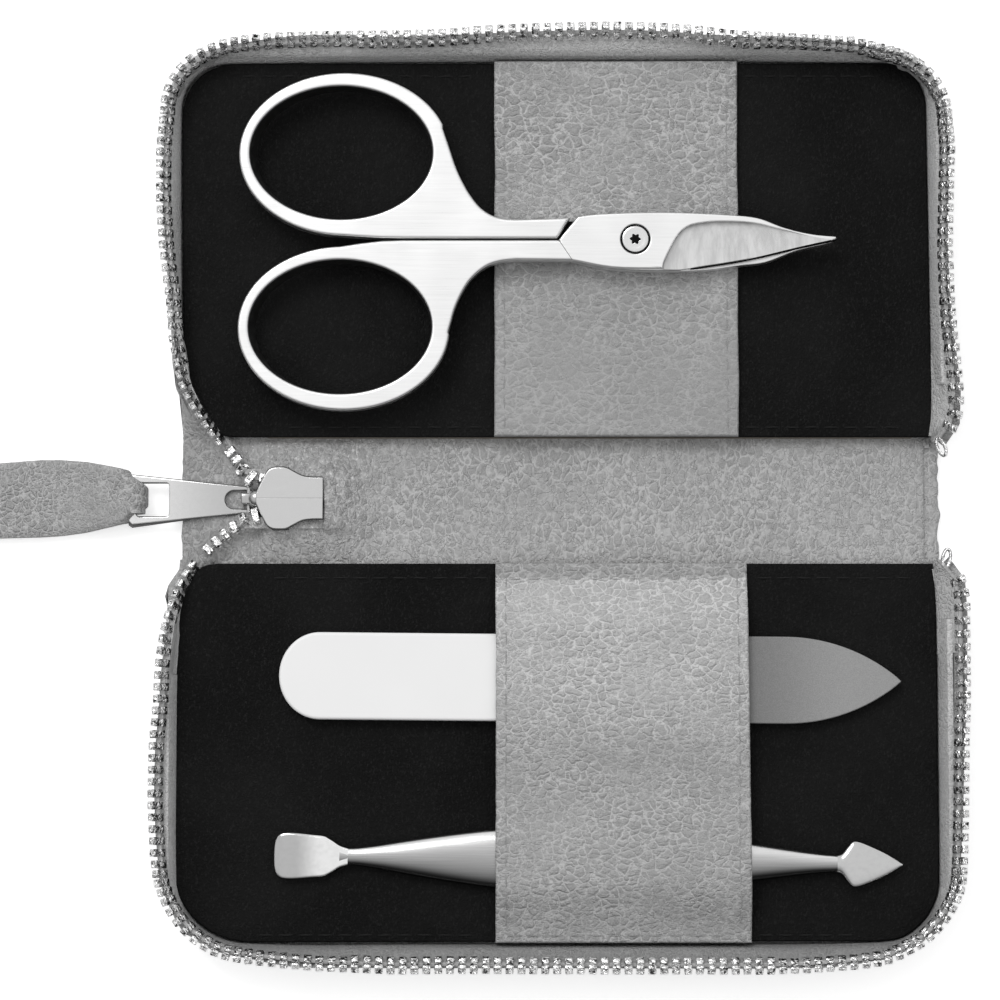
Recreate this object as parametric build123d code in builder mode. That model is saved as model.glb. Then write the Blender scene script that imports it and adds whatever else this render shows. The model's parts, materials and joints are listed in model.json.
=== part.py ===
from build123d import *
from math import atan, cos, degrees, hypot, radians, sin, tan
import os

# Zipped leather manicure case, lying open and flat, with its scissors, nail file and cuticle tool.
# Millimetres.  X runs along the spine, Y across it, Z up.  The origin is under the middle of the
# spine, on the surface that the case lies on.

# ---------------------------------------------------------------- driving dimensions: the case
TRAY_HALF = 55.0          # half the length of a lined tray, along the spine
TRAY_FAR = 64.3           # far edge of a tray's lining, from the spine's middle
TRAY_NEAR = 9.5           # near edge of a tray's lining
FACING_NEAR = 17.0        # near edge of a wall's facing
HINGE_Y = 8.0             # fold line, from the spine's middle
FOLD_GAP = 0.15           # each leather panel stops this far short of its fold line
LEATHER = 1.2             # outer leather
LINING = 0.8              # grey lining leather over the spine
BOARD = 2.0               # stiffening board inside each cover
LINER = 0.8               # black lining of a tray
FACING = 0.8              # leather facing inside a wall
TAPE = 0.6                # woven zip tape
SPLAY = 16.0              # outward lean of the walls, degrees
WALL_TOP = 7.0            # height of the outer leather wall
FACING_TOP = 7.05         # height of the facing
RIM_TOP = 8.35            # height of the tape's edge, which carries the teeth
CORNER = {"upper": 6.5, "lower": 9.5}   # radius of a tray's far corners
CORNER_STEPS = 9          # flats round each corner
BASE_BEVEL = 0.7         # bevel of the cover's bottom edge
SPINE_BEVEL = 0.4
SPINE_HALF = TRAY_HALF + 0.2   # half the length of the spine's leather
END = -TRAY_HALF          # the trays' end by the slider
RIDGE_X = END + 20.8      # folded edge of the lining, beside the slider
RIDGE_SIDE = ((7.8, LEATHER), (7.8, LEATHER + LINING), (6.3, LEATHER + LINING + 0.25), (3.4, 4.3),
              (2.3, 5.05), (1.2, 5.2), (0.4, 5.2), (0, 4.8))   # its side view: X from the edge, Z
RIDGE_HALF = 5.4
POCKET_END = END + 22.5   # depth of the pocket in the raised edge, for the tapes and their stop
SEAM_X = TRAY_HALF - 2.6   # where the lining stops short of the spine's end
LINING_END = END + 0.6
WINDOW_X = (END + 5.8, END + 9.0)   # window in the lining round the slider and pull
WINDOW_Y = (2.6, 6.2)     # its half width, at the pull and round the slider

# ---------------------------------------------------------------- driving dimensions: the zip
PITCH = 1.7               # tooth to tooth
TOOTH_LENGTH = 0.75       # along the row
TOOTH_WIDTH = 1.5         # across both jaws
TOOTH_HEAD = 1.3          # above the tape's edge
TOOTH_JAW = 1.0           # below the tape's edge
TOOTH_NOSE = 0.9          # width of the head's tip
SLIDER_Y = 0.5            # the slider's middle line
SLIDER_Z = 4.5            # middle of the slider's channel
CHANNEL = 1.8             # height of the channel that the teeth run in
PLATE = 0.6               # thickness of each slider plate
TAPE_SLOT = 0.9           # slot in the slider's sides for the tape
SLIDER_WALL = 0.6
BRIDGE = 0.6              # thickness of the bridge that holds the pull
BRIDGE_FLOOR = 1.3        # underside of the bridge
BRIDGE_HALF = 0.8         # half the bridge's width
BRIDGE_REACH = 2.8        # from the pull's bar to the bridge's rear leg
BRIDGE_PLAY = 0.15        # between the pull's bar and the bridge
BRIDGE_ROUND = 0.25
SLIDER_X = END + 10.8     # wide end of the slider
PULL_PIVOT = (SLIDER_X - 1.0, 2.45)   # X and Z of the pull's end bar
PULL_THICK = 0.9
PULL_END = SLIDER_X - 18.8   # far end of the pull

PULL_SLOT_END = SLIDER_X - 4.7   # round end of the slot that the bridge sits in
PULL_SLOT = 1.5           # half the slot's width
PULL_EYE = 1.95           # half the pull's width at its end bar
PULL_WIDE = 3.6           # half its width at the far end
PULL_CORNER = 0.6
PULL_WINDOW_START = PULL_END + 1.2
PULL_WINDOW_END = PULL_END + 6.0
PULL_WINDOW = 2.5         # half the window's width
BAR_X = PULL_END + 0.6    # middle of the bar that carries the leather strap
STRAP_END = BAR_X - 34.6   # rounded end of the leather strap
STRAP_PLY = 1.0           # each of the strap's two layers
STRAP_HALF = 5.65         # half the strap's width
STRAP_BORE = 0.95         # radius inside the strap's loop
STRAP_LANDING = BAR_X - 6.6   # where the strap comes down to the table
STRAP_OVER = ((-0.4, 1.9), (-1.6, 1.55), (-3.6, 0.5))      # top of the slope: X, and Z over the bar
STRAP_UNDER = ((-4.0, 2.2), (-1.6, 2.05), (-0.4, 1.9))     # its underside: X, and Z under the bar

# ---------------------------------------------------------------- driving dimensions: the tools
BAND = 1.2                # leather of the two retaining bands
BAND_X = {"upper": (-9.6, 26.0), "lower": (-9.4, 27.4)}
BAND_RISE = 0.25          # the empty band's arch over the liner
BAND_SLOPE = 2.8          # run of a raised band's slopes
BAND_BEND = 0.9
REST = 0.03               # under each loose tool
CLEAR = 0.3               # between a tool and the band over it
BLADE = 1.88              # thickness of each scissor blade
BLADE_GAP = 0.04          # running clearance between the blades
TIP_START = 8.0           # each blade thins from here, from the screw
TIP_THIN = 1.0            # taken off its thickness at its tip
LOOP_THICK = 2.6          # thickness of the finger loops
LOOP_DROP = 0.22          # the loops lie this far under the joint's top face
SCREW = (10.87, 37.92)    # the scissors' pivot
SCREW_HEAD_R = 1.95
SCREW_R = 1.3
SCREW_SINK = 0.55         # depth of the recess for the screw's head
PIVOT_PLAY = 0.05         # radial running clearance on the screw
LOOP_R = (12.95, 9.55)    # half the finger hole's length and width
LOOP_RING = 2.4           # width of the ring round it
LOOP_CENTRE = {"under": (-42.2, 12.45), "top": (-42.3, -13.0)}   # from the screw
FILE_LENGTH = 90.0
FILE_WIDTH = 12.6
FILE_HANDLE = 49.5        # length of the white handle
FILE_HANDLE_THICK = 2.2
FILE_BLADE_THICK = 1.2
FILE_LEAF = 17.0          # length of the pointed end
LEAF_BOW = (0.52, 0.72)   # a point that its arcs pass through, as parts of its length and half width
FILE_BEVEL = 0.3
HANDLE_BEVEL = 0.4
TANG_WIDTH = 8.0
TANG_LENGTH = 32.0
FILE_START = (-40.7, -25.2)     # middle of the handle's round end
FILE_TURN = -0.55         # degrees
TOOL_START = (-41.3, -51.15)    # middle of the pusher's edge
TOOL_TURN = -0.85
TOOL_THICK = 2.4
TOOL_HALF_WIDTH = 4.75

FILE_UNDER_BAND = -FILE_START[1] + 0.45   # middle of each tool where the band crosses it
TOOL_UNDER_BAND = -TOOL_START[1] + 0.65

TAN = tan(radians(SPLAY))
BEVEL_LEAN = degrees(atan(1 + TAN))   # lean of the cover's bottom bevel
BOARD_TOP = LEATHER + BOARD
LINER_TOP = BOARD_TOP + LINER
HINGE_Z = LEATHER + LINING
FACING_OUT = FACING / cos(radians(SPLAY))
TAPE_OUT = FACING_OUT + TAPE / cos(radians(SPLAY))
LEATHER_OUT = TAPE_OUT + LEATHER / cos(radians(SPLAY))
RIM_OUT = (FACING_OUT + TAPE_OUT) / 2 + (RIM_TOP - BOARD_TOP) * TAN
SIDE = {"upper": 1, "lower": -1}
FAR = TRAY_HALF + 25      # well outside the case, for cuts
SCISSOR_BASE = LINER_TOP + BAND_RISE + BAND + REST
SCISSOR_TOP = SCISSOR_BASE + 2 * BLADE + BLADE_GAP

# The tape's middle line near the spine, for each end of a wall: distance from the spine's middle,
# then X and Z of the tape's edge, then X and Z of its foot.
WALL_END = 25.0
WALL_END_RIGHT = 17.0
FOOT_OUT = (FACING_OUT + TAPE_OUT) / 2
MOUTH = {
    "upper": ((17.0, END - 0.1, 7.2, END + 0.2, 2.6), (12.0, END + 3.2, 5.2, END + 3.2, 2.1),
              (8.5, END + 6.1, 3.7, END + 6.1, 2.05)),
    "lower": ((17.0, END - 1.7, 7.2, END - 0.6, 2.6), (12.0, END + 0.1, 5.2, END + 0.5, 2.1),
              (8.5, END + 2.4, 3.7, END + 2.5, 2.05)),
}
# Near corner of a tray's lining by the slider: the corner's inner point, and X where the near edge starts.
NOTCH = {"upper": ((END + 5.8, 11.9), END + 10.8), "lower": ((END + 2.8, 11.7), END + 7.1)}
PLATE_CLEAR = 0.3
LEDGE_INSET = 0.6         # ends of the step between the fold and the board
BOARD_GROW = 0.6
ROW_START = {"upper": 1.0, "lower": 1.5}   # first tooth after its row's stop, in pitches
STOP_LENGTH = 1.4
STOP_WIDTH = 1.8
STOP_NOSE = 1.4
STOP_HEAD = 1.0
STOP_INSET = 0.9          # the stop that joins both tapes: from the lining's raised edge
END_STOP = (1.0, 1.4, 0.9)   # its length, its width past the tapes' gap, and its thickness
STOP_PLACE = 1.05         # middle of a stop, from its row's end
TAIL = ((12.5, TRAY_HALF + 2.1, 7.6, TRAY_HALF + 0.6, 2.9),
        (9.6, TRAY_HALF + 0.6, 6.4, TRAY_HALF - 0.1, 2.4))

# The tape's edge on the spine (X, Y, Z of each row) and on through the slider (X and Y).
ROW_TO_SLIDER = {
    "upper": ((END + 6.7, 7.7, 3.0), (END + 8.1, 5.9, 3.4), (END + 9.0, 4.7, 3.9), (END + 9.7, 3.9, 4.3)),
    "lower": ((END + 2.9, 7.7, 3.0), (END + 5.5, 5.3, 3.4), (END + 8.0, 3.5, 4.0), (END + 9.4, 2.8, 4.3)),
}
ROW_IN_SLIDER = ((END + 10.8, 2.75), (END + 12.8, 2.6), (END + 15.5, 1.6), (END + 18.0, 1.45),
                 (END + 19.7, 1.45))
STRIP_START = (END + 9.1, 3.7)
TAPE_REACH = 4.35         # edge of the flat tapes, from the slider's middle line
TURN_X = (END + 8.4, END + 10.4)   # the standing rows turn over flat between these

# Half outlines of the slider: X from its wide end, Y from its middle line.
SLIDER_OUTLINE = ((0, 0.8), (2.05, 4.5), (4.8, 4.5), (6.9, 3.3), (9.7, 3.1))
CHANNEL_OUTLINE = ((-1.8, 5.5), (1.9, 3.9), (4.6, 3.9), (6.7, 2.7), (10.2, 2.5))
WEDGE = ((0, 0.8), (1.6, 1.1), (3.8, 0.05))

# Half outline of the strap, from its rounded end to where it loops through the pull's window.
STRAP_OUTLINE = ((STRAP_END + STRAP_HALF, STRAP_HALF), (BAR_X - 11.1, STRAP_HALF), (BAR_X - 8.1, 5.3),
                 (BAR_X - 4.9, 4.4), (BAR_X - 3.0, 3.6), (BAR_X - 2.0, 2.35), (BAR_X + 4, 2.35))

# Scissor outlines, X and Y from the screw: outer edge of each shank into its loop, the full
# thickness of each shank up to the joint, and the back and the cutting edge of each blade.
FLARE = {
    "under": ((-28.1, 16.8), (-26.0, 10.5), (-24.0, 6.7), (-22.2, 4.4), (-20.2, 3.2)),
    "top": ((-27.2, -13.9), (-26.3, -10.5), (-25.7, -8.6), (-24.0, -6.1), (-22.2, -4.5), (-20.0, -3.35)),
}
SHANK = {
    "under": ((-20.2, 0.1), (-11.95, 0.1), (-9.4, 3.1), (-17.4, 2.9), (-20.2, 3.2)),
    "top": ((-20.0, -0.15), (-10.9, -0.15), (-9.3, -3.1), (-17.4, -3.05), (-20.0, -3.35)),
}
BLADE_START = {
    "under": ((-9.4, 3.1), (-12.0, 2.5), (-14.0, 0.1), (-9.7, -0.05), (-9.5, -1.7), (-9.2, -3.0)),
    "top": ((-9.3, -3.1), (-12.0, -2.5), (-14.0, -0.15), (-11.7, -0.15), (-11.7, 0.1), (-9.24, 3.08)),
}
BLADE_BACK = {
    "under": ((-9.2, -3.0), (-3.4, -4.2), (4.3, -4.5), (10.8, -4.3), (15.4, -3.65), (18.9, -3.2),
              (23.4, -1.5), (27.9, -0.45), (29.0, -0.15)),
    "top": ((-9.24, 3.08), (-8.1, 3.5), (-1.8, 3.8), (4.6, 3.9), (12.5, 3.6), (17.7, 3.1), (21.4, 1.75),
            (25.7, 0.6), (29.2, 0.05)),
}
BLADE_EDGE = {
    "under": ((29.0, -0.15), (24.3, -0.6), (16.0, 0.9), (6.5, 2.5)),
    "top": ((29.2, 0.05), (27.9, -0.4), (24.3, -1.0), (16.0, -2.9), (6.5, -4.4)),
}
BLADE_HEEL = {
    "under": ((6.5, 2.5), (5.6, 4.2), (4.3, 4.5), (-3.4, 4.2), (-9.4, 3.1)),
    "top": ((6.5, -4.4), (4.3, -4.5), (-3.4, -4.2), (-9.3, -3.1)),
}

# Cuticle tool, X along it from the pusher: half widths of the pusher, the body and the spear, and
# the thickness along it.
PUSHER = ((0, 2.4), (1.0, 3.2), (2.9, 3.25), (7.4, 2.8), (9.6, 1.6), (10.9, 1.2))
TOOL_BODY = ((10.9, 1.2), (20.0, 2.6), (32.1, 4.2), (45.0, TOOL_HALF_WIDTH), (58.0, 4.0), (69.3, 2.6),
             (80.9, 1.2))
SPEAR = ((80.9, 1.2), (81.7, 1.3), (83.6, 3.2), (87.5, 1.9), (90.7, 0))
TOOL_SIDE = ((0, 0.8), (9.6, 1.1), (20.0, TOOL_THICK), (72.0, TOOL_THICK), (80.9, 1.6), (84.0, 1.1),
             (90.7, 0.5))

os.makedirs("parts", exist_ok=True)


def save(piece, label):
    piece.label = label
    export_step(piece, "parts/" + label + ".step")
    print(label, len(piece.solids()), round(piece.volume, 2), piece.is_valid)


def far_edge(half_length, far, radius):
    """Far edge of a tray with its two rounded corners, from the right-hand side to the left."""
    points = []
    step = radians(90 / CORNER_STEPS)
    reach = radius / cos(step / 2)
    for i in range(2 * CORNER_STEPS):
        centre = half_length - radius if i < CORNER_STEPS else radius - half_length
        angle = (i + 0.5) * step
        points.append((centre + reach * cos(angle), far - radius + reach * sin(angle)))
    return points


def tray_outline(height, grow, corner):
    """Half-case outline at a height, open end at the spine's middle, grown outward by a distance."""
    half_length = TRAY_HALF + grow
    with BuildSketch(Plane.XY.offset(height)) as outline:
        Polygon(
            (-half_length, 0), (half_length, 0), *far_edge(half_length, TRAY_FAR + grow, corner + grow),
            align=None,
        )
    return outline.sketch


def wall_section(line_y, rim_x, rim_z, foot_x, foot_z, inner, outer):
    """Cross-section of a wall layer at one distance from the spine: rim and foot, inner and outer."""
    with BuildSketch(Plane.XZ.offset(-line_y)) as section:
        with BuildLine():
            Polyline(
                (foot_x + inner, foot_z),
                (rim_x + inner, rim_z),
                (rim_x + outer, rim_z),
                (foot_x + outer, foot_z),
                close=True,
            )
        make_face()
    return section.sketch


def wall_layer(half, inner, outer, low, high, near):
    """One leaning layer of a half's wall, from the end by the slider round to the other end."""
    corner = CORNER[half]
    drop = RIM_TOP - high
    with BuildPart() as layer:
        for edge, mode in ((outer, Mode.ADD), (inner, Mode.SUBTRACT)):
            base = edge + (low - BOARD_TOP) * TAN
            extrude(tray_outline(low, base, corner), amount=high - low, taper=-SPLAY, mode=mode)
        with BuildSketch(Plane.XY):
            Polygon(
                (0, -FAR), (-FAR, -FAR), (-FAR, WALL_END), (0, WALL_END), (0, WALL_END_RIGHT),
                (FAR, WALL_END_RIGHT), (FAR, -FAR), align=None,
            )
        extrude(amount=FAR, mode=Mode.SUBTRACT)
        middle = FOOT_OUT
        ends = ((MOUTH[half], -1, WALL_END), (TAIL, 1, WALL_END_RIGHT)) if near < WALL_END_RIGHT else ()
        for rows, side, first in ends:
            rim = TRAY_HALF + middle + (high - BOARD_TOP) * TAN
            foot = TRAY_HALF + middle + (low - BOARD_TOP) * TAN
            stations = [(first, side * rim, high, side * foot, low)]
            for line_y, rim_x, rim_z, foot_x, foot_z in rows:
                lean = (rim_x - foot_x) / (rim_z - foot_z)
                stations.append((line_y, rim_x - lean * drop, rim_z - drop, foot_x, foot_z))
            sections = []
            for i, (line_y, rim_x, rim_z, foot_x, foot_z) in enumerate(stations):
                before = stations[max(i - 1, 0)]
                after = stations[min(i + 1, len(stations) - 1)]
                slope = (after[1] - before[1]) / (after[0] - before[0]) if i else 0
                widen = hypot(1, slope)
                near = side * (inner - middle) * widen
                far = side * (outer - middle) * widen
                sections.append(wall_section(line_y, rim_x, rim_z, foot_x, foot_z, near, far))
            loft(sections, ruled=True)
        with BuildSketch(Plane.XY):
            Polygon((-FAR, -FAR), (FAR, -FAR), (FAR, near), (-FAR, near), align=None)
        extrude(amount=FAR, mode=Mode.SUBTRACT)
        if half == "lower":
            mirror(about=Plane.XZ, mode=Mode.REPLACE)
    return layer.part


def plate_outline(half, height, grow):
    """Outline of a board or liner: rounded far corners, near corners cut clear of the zip."""
    half_length = TRAY_HALF + grow
    inner = TAPE / 2 + FACING
    (y1, _, _, x1, _), (y2, _, _, x2, _), _ = MOUTH[half]
    (notch_x, notch_y), start_x = NOTCH[half]
    with BuildSketch(Plane.XY.offset(height)) as outline:
        with BuildLine():
            Polyline(
                (start_x, TRAY_NEAR),
                (notch_x, notch_y),
                (x2 + inner * 1.24 + PLATE_CLEAR, y2),
                (x1 + inner * 1.12 + PLATE_CLEAR, y1),
                (-half_length, WALL_END),
                *reversed(far_edge(half_length, TRAY_FAR + grow, CORNER[half] + grow)),
                (half_length, WALL_END_RIGHT),
                (TAIL[1][3] - inner - PLATE_CLEAR, TRAY_NEAR),
                close=True,
            )
        make_face()
    return outline.sketch


def plate(half, low, thick, grow):
    """A flat layer that lines one half of the case."""
    with BuildPart() as layer:
        extrude(plate_outline(half, low, grow), amount=thick)
        if half == "lower":
            mirror(about=Plane.XZ, mode=Mode.REPLACE)
    return layer.part


def cover_shell(half):
    """Outer leather of one half: floor, leaning wall, and the wall's ends drawn in at the spine."""
    corner = CORNER[half]
    near = HINGE_Y + FOLD_GAP
    with BuildPart() as shell:
        base = LEATHER_OUT - BOARD_TOP * TAN
        extrude(tray_outline(0, base - BASE_BEVEL, corner), amount=BASE_BEVEL, taper=-BEVEL_LEAN)
        above = base + BASE_BEVEL * TAN
        extrude(tray_outline(BASE_BEVEL, above, corner), amount=WALL_TOP - BASE_BEVEL, taper=-SPLAY)
        inside = TAPE_OUT + (LEATHER - BOARD_TOP) * TAN
        extrude(tray_outline(LEATHER, inside, corner), amount=WALL_TOP, taper=-SPLAY, mode=Mode.SUBTRACT)
        with BuildSketch(Plane.XY.offset(LEATHER)):
            Polygon(
                (0, -FAR), (-FAR, -FAR), (-FAR, WALL_END), (0, WALL_END), (0, WALL_END_RIGHT),
                (FAR, WALL_END_RIGHT), (FAR, -FAR), align=None,
            )
        extrude(amount=FAR, mode=Mode.SUBTRACT)
        with BuildSketch(Plane.XY):
            Polygon((-FAR, -FAR), (FAR, -FAR), (FAR, near), (-FAR, near), align=None)
            Polygon((-FAR, -9), (-FAR, WALL_END), (-TRAY_HALF - base, WALL_END), (-SPINE_HALF, near),
                    (-SPINE_HALF, -9), align=None)
            Polygon((FAR, -9), (FAR, WALL_END_RIGHT), (TRAY_HALF + base, WALL_END_RIGHT),
                    (SPINE_HALF, near), (SPINE_HALF, -9), align=None)
        extrude(amount=FAR, mode=Mode.SUBTRACT)
        middle = (TAPE_OUT + LEATHER_OUT) / 2
        half_wall = (LEATHER_OUT - TAPE_OUT) / 2
        foot_z = LEATHER / 2
        for rows, side, first in ((MOUTH[half], -1, WALL_END), (TAIL, 1, WALL_END_RIGHT)):
            wall_foot = TRAY_HALF + middle + (foot_z - BOARD_TOP) * TAN
            stations = [(first, side * (TRAY_HALF + middle + (WALL_TOP - BOARD_TOP) * TAN),
                         WALL_TOP, side * wall_foot)]
            span = first - rows[-1][0]
            for line_y, rim_x, rim_z, _, _ in rows:
                drawn = (first - line_y) / span
                foot_x = wall_foot + drawn * (SPINE_HALF - half_wall - 0.1 - wall_foot)
                stations.append((line_y, rim_x + side * (TAPE + LEATHER) / 2,
                                 rim_z - TOOTH_JAW - 0.2, side * foot_x))
            sections = []
            for i, (line_y, rim_x, rim_z, foot_x) in enumerate(stations):
                before = stations[max(i - 1, 0)]
                after = stations[min(i + 1, len(stations) - 1)]
                slope = (after[1] - before[1]) / (after[0] - before[0]) if i else 0
                widen = hypot(1, slope)
                shift = side * (TAPE + LEATHER) / 2 * (widen - 1)
                reach = half_wall * widen
                sections.append(
                    wall_section(line_y, rim_x + shift, rim_z, foot_x, foot_z, -reach, reach)
                )
            loft(sections, ruled=True)
        with BuildSketch(Plane.XY.offset(LEATHER)):
            end = SPINE_HALF - LEDGE_INSET
            Polygon((-end, near), (end, near), (end, TRAY_NEAR - 0.1), (-end, TRAY_NEAR - 0.1), align=None)
        extrude(amount=LINING)
        if half == "lower":
            mirror(about=Plane.XZ, mode=Mode.REPLACE)
        add(wall_layer(half, FACING_OUT, TAPE_OUT, BOARD_TOP, RIM_TOP, HINGE_Y), mode=Mode.SUBTRACT)
    return shell.part


def rim_path(half):
    """The tape's edge, from the stop at the right-hand end round to the end by the slider."""
    reach = TRAY_HALF + RIM_OUT
    far = TRAY_FAR + RIM_OUT
    radius = CORNER[half] + RIM_OUT
    tail = [(x, y, z) for y, x, z, _, _ in reversed(TAIL)]
    mouth = [(x, y, z) for y, x, z, _, _ in MOUTH[half]]
    with BuildLine() as rim:
        Spline(*tail, (reach, WALL_END_RIGHT, RIM_TOP))
        Line((reach, WALL_END_RIGHT, RIM_TOP), (reach, far - radius, RIM_TOP))
        JernArc((reach, far - radius, RIM_TOP), (0, 1, 0), radius, 90)
        Line((reach - radius, far, RIM_TOP), (radius - reach, far, RIM_TOP))
        JernArc((radius - reach, far, RIM_TOP), (-1, 0, 0), radius, 90)
        Line((-reach, far - radius, RIM_TOP), (-reach, WALL_END, RIM_TOP))
        Spline((-reach, WALL_END, RIM_TOP), *mouth)
    return rim.wire()


def tooth_place(path, distance, lean, side=1):
    """Location of a tooth on a path: X along the row, Z out of the tape's edge."""
    point = path.position_at(distance, position_mode=PositionMode.LENGTH)
    along = path.tangent_at(distance, position_mode=PositionMode.LENGTH)
    outward = Vector(along.Y, -along.X, 0).normalized()
    angle = radians(lean(point))
    up = Vector(0, 0, cos(angle)) + outward * sin(angle)
    up = (up - along * up.dot(along)).normalized()
    point, along, up = (Vector(v.X, v.Y * side, v.Z) for v in (point, along, up))
    return Plane(origin=point, x_dir=along, z_dir=up).location


def clip(length, width, nose, head, jaw):
    """A metal clip that grips the tape's edge between two jaws: a tooth, or a stop."""
    with BuildPart() as tooth:
        with BuildSketch(Plane.YZ):
            with BuildLine():
                Polyline(
                    (-width / 2, -jaw), (-TAPE / 2, -jaw), (-TAPE / 2, 0), (TAPE / 2, 0),
                    (TAPE / 2, -jaw), (width / 2, -jaw), (nose / 2, head), (-nose / 2, head),
                    close=True,
                )
            make_face()
        extrude(amount=length / 2, both=True)
    return tooth.part


def rim_teeth(half):
    """All the teeth of one half, each a solid of its own, and the stop at the row's end."""
    path = rim_path(half)

    def lean(point):
        if point.X > 0 or point.Y > WALL_END:
            return SPLAY
        return SPLAY * max(0, (point.Y - MOUTH[half][1][0]) / (WALL_END - MOUTH[half][1][0]))

    first = STOP_LENGTH + PITCH * ROW_START[half]
    count = int((path.length - first - TOOTH_LENGTH / 2) / PITCH) + 1
    tooth = clip(TOOTH_LENGTH, TOOTH_WIDTH, TOOTH_NOSE, TOOTH_HEAD, TOOTH_JAW)
    side = SIDE[half]
    places = [tooth_place(path, first + i * PITCH, lean, side) for i in range(count)]
    teeth = [tooth.moved(place) for place in places]
    stop = clip(STOP_LENGTH, STOP_WIDTH, STOP_NOSE, STOP_HEAD, TOOTH_JAW)
    return Compound(children=teeth), stop.moved(tooth_place(path, STOP_PLACE, lean, side))


# ---------------------------------------------------------------- the spine and the zip's end
def spine_leather():
    with BuildPart() as leather:
        with BuildSketch(Plane.XY):
            Rectangle(2 * SPINE_HALF, 2 * (HINGE_Y - FOLD_GAP))
        extrude(amount=LEATHER)
        chamfer(leather.faces().sort_by(Axis.Z)[0].edges().filter_by(Axis.Y), SPINE_BEVEL)
    return leather.part


def spine_lining():
    """Inner leather of the spine, with a window for the slider and a raised edge beside it."""
    start = RIDGE_X
    with BuildPart() as lining:
        with BuildSketch(Plane.XY.offset(LEATHER)):
            with BuildLine():
                edge = HINGE_Y - FOLD_GAP - 0.05
                Polyline((LINING_END, -edge), (SEAM_X, -edge), (SEAM_X, edge), (LINING_END, edge),
                         close=True)
            make_face()
            with BuildLine():
                Polyline(
                    (WINDOW_X[0], SLIDER_Y - WINDOW_Y[0]), (WINDOW_X[1], SLIDER_Y - WINDOW_Y[0]),
                    (WINDOW_X[1], SLIDER_Y - WINDOW_Y[1]), (start, SLIDER_Y - WINDOW_Y[1]),
                    (start, SLIDER_Y + WINDOW_Y[1]), (WINDOW_X[1], SLIDER_Y + WINDOW_Y[1]),
                    (WINDOW_X[1], SLIDER_Y + WINDOW_Y[0]), (WINDOW_X[0], SLIDER_Y + WINDOW_Y[0]),
                    close=True,
                )
            make_face(mode=Mode.SUBTRACT)
        extrude(amount=LINING)
        with BuildSketch(Plane.XZ.offset(-SLIDER_Y)):
            Polygon((start, LEATHER), *[(start + x, z) for x, z in RIDGE_SIDE], align=None)
        extrude(amount=RIDGE_HALF, both=True)
        with BuildSketch(Plane.XZ.offset(-SLIDER_Y)):
            Polygon((start - 1, SLIDER_Z - 0.5), (POCKET_END, SLIDER_Z - 0.5),
                    (POCKET_END, SLIDER_Z + 0.5), (start - 1, SLIDER_Z + 0.5), align=None)
        extrude(amount=RIDGE_HALF - 0.5, both=True, mode=Mode.SUBTRACT)
    return lining.part


def end_row(half):
    """The tape's edge from the fold line into the slider, drawn as for the upper half."""
    shift = SIDE[half] * SLIDER_Y
    inside = [(x, y + shift, SLIDER_Z) for x, y in ROW_IN_SLIDER]
    return list(ROW_TO_SLIDER[half]), inside


def tape_end(half):
    """The end of one zip tape: a standing strip on the spine, then a flat strip through the slider."""
    standing, inside = end_row(half)
    shift = SIDE[half] * SLIDER_Y
    with BuildPart() as tape:
        with BuildSketch(Plane.XY.offset(HINGE_Z)):
            with BuildLine():
                Spline(*[(x, y) for x, y, _ in standing])
            trace(line_width=TAPE)
        extrude(amount=SLIDER_Z - HINGE_Z)
        (x1, _, z1), (x2, _, z2) = standing[0], standing[-1]
        with BuildSketch(Plane.XZ):
            Polygon((x1 - 1, z1), (x2, z2), (x2, z2 + 9), (x1 - 1, z2 + 9), align=None)
        extrude(amount=-FAR, mode=Mode.SUBTRACT)
        with BuildSketch(Plane.XY.offset(SLIDER_Z - TAPE / 2)):
            with BuildLine():
                Polyline(
                    (STRIP_START[0], STRIP_START[1] + shift), *[(x, y) for x, y, _ in inside],
                    (POCKET_END - 0.1, inside[-1][1]), (POCKET_END - 0.1, TAPE_REACH + shift),
                    (STRIP_START[0], TAPE_REACH + shift), close=True,
                )
            make_face()
        extrude(amount=TAPE)
        if half == "lower":
            mirror(about=Plane.XZ, mode=Mode.REPLACE)
    return tape.part


def end_teeth():
    """The last teeth of both rows, which stand on the spine and turn over into the slider."""
    tooth = clip(TOOTH_LENGTH, TOOTH_WIDTH, TOOTH_NOSE, TOOTH_HEAD, TOOTH_JAW)

    def lean(point):
        return 90 * min(1, max(0, (point.X - TURN_X[0]) / (TURN_X[1] - TURN_X[0])))

    teeth = []
    for half in ("upper", "lower"):
        standing, inside = end_row(half)
        with BuildLine() as row:
            Spline(*standing, *inside)
        path = row.wire()
        first = TOOTH_LENGTH / 2 + 0.1 + (PITCH / 2 if half == "lower" else 0)
        count = int((path.length - first - TOOTH_LENGTH / 2) / PITCH) + 1
        places = [tooth_place(path, first + i * PITCH, lean, SIDE[half]) for i in range(count)]
        teeth += [tooth.moved(place) for place in places]
    return Compound(children=teeth)


def bottom_stop():
    """Clip that joins both tapes inside the lining's raised edge."""
    edge = ROW_IN_SLIDER[-1][1]
    with BuildPart() as stop:
        with BuildSketch(Plane.XY.offset(SLIDER_Z)):
            with Locations((RIDGE_X + STOP_INSET, SLIDER_Y)):
                Rectangle(END_STOP[0], 2 * edge + END_STOP[1])
        extrude(amount=END_STOP[2] / 2, both=True)
        with BuildSketch(Plane.XY.offset(SLIDER_Z)):
            with Locations((RIDGE_X + STOP_INSET, SLIDER_Y)):
                Rectangle(2 * END_STOP[0], 4 * edge)
                Rectangle(2 * END_STOP[0], 2 * edge, mode=Mode.SUBTRACT)
        extrude(amount=TAPE / 2, both=True, mode=Mode.SUBTRACT)
    return stop.part


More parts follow.
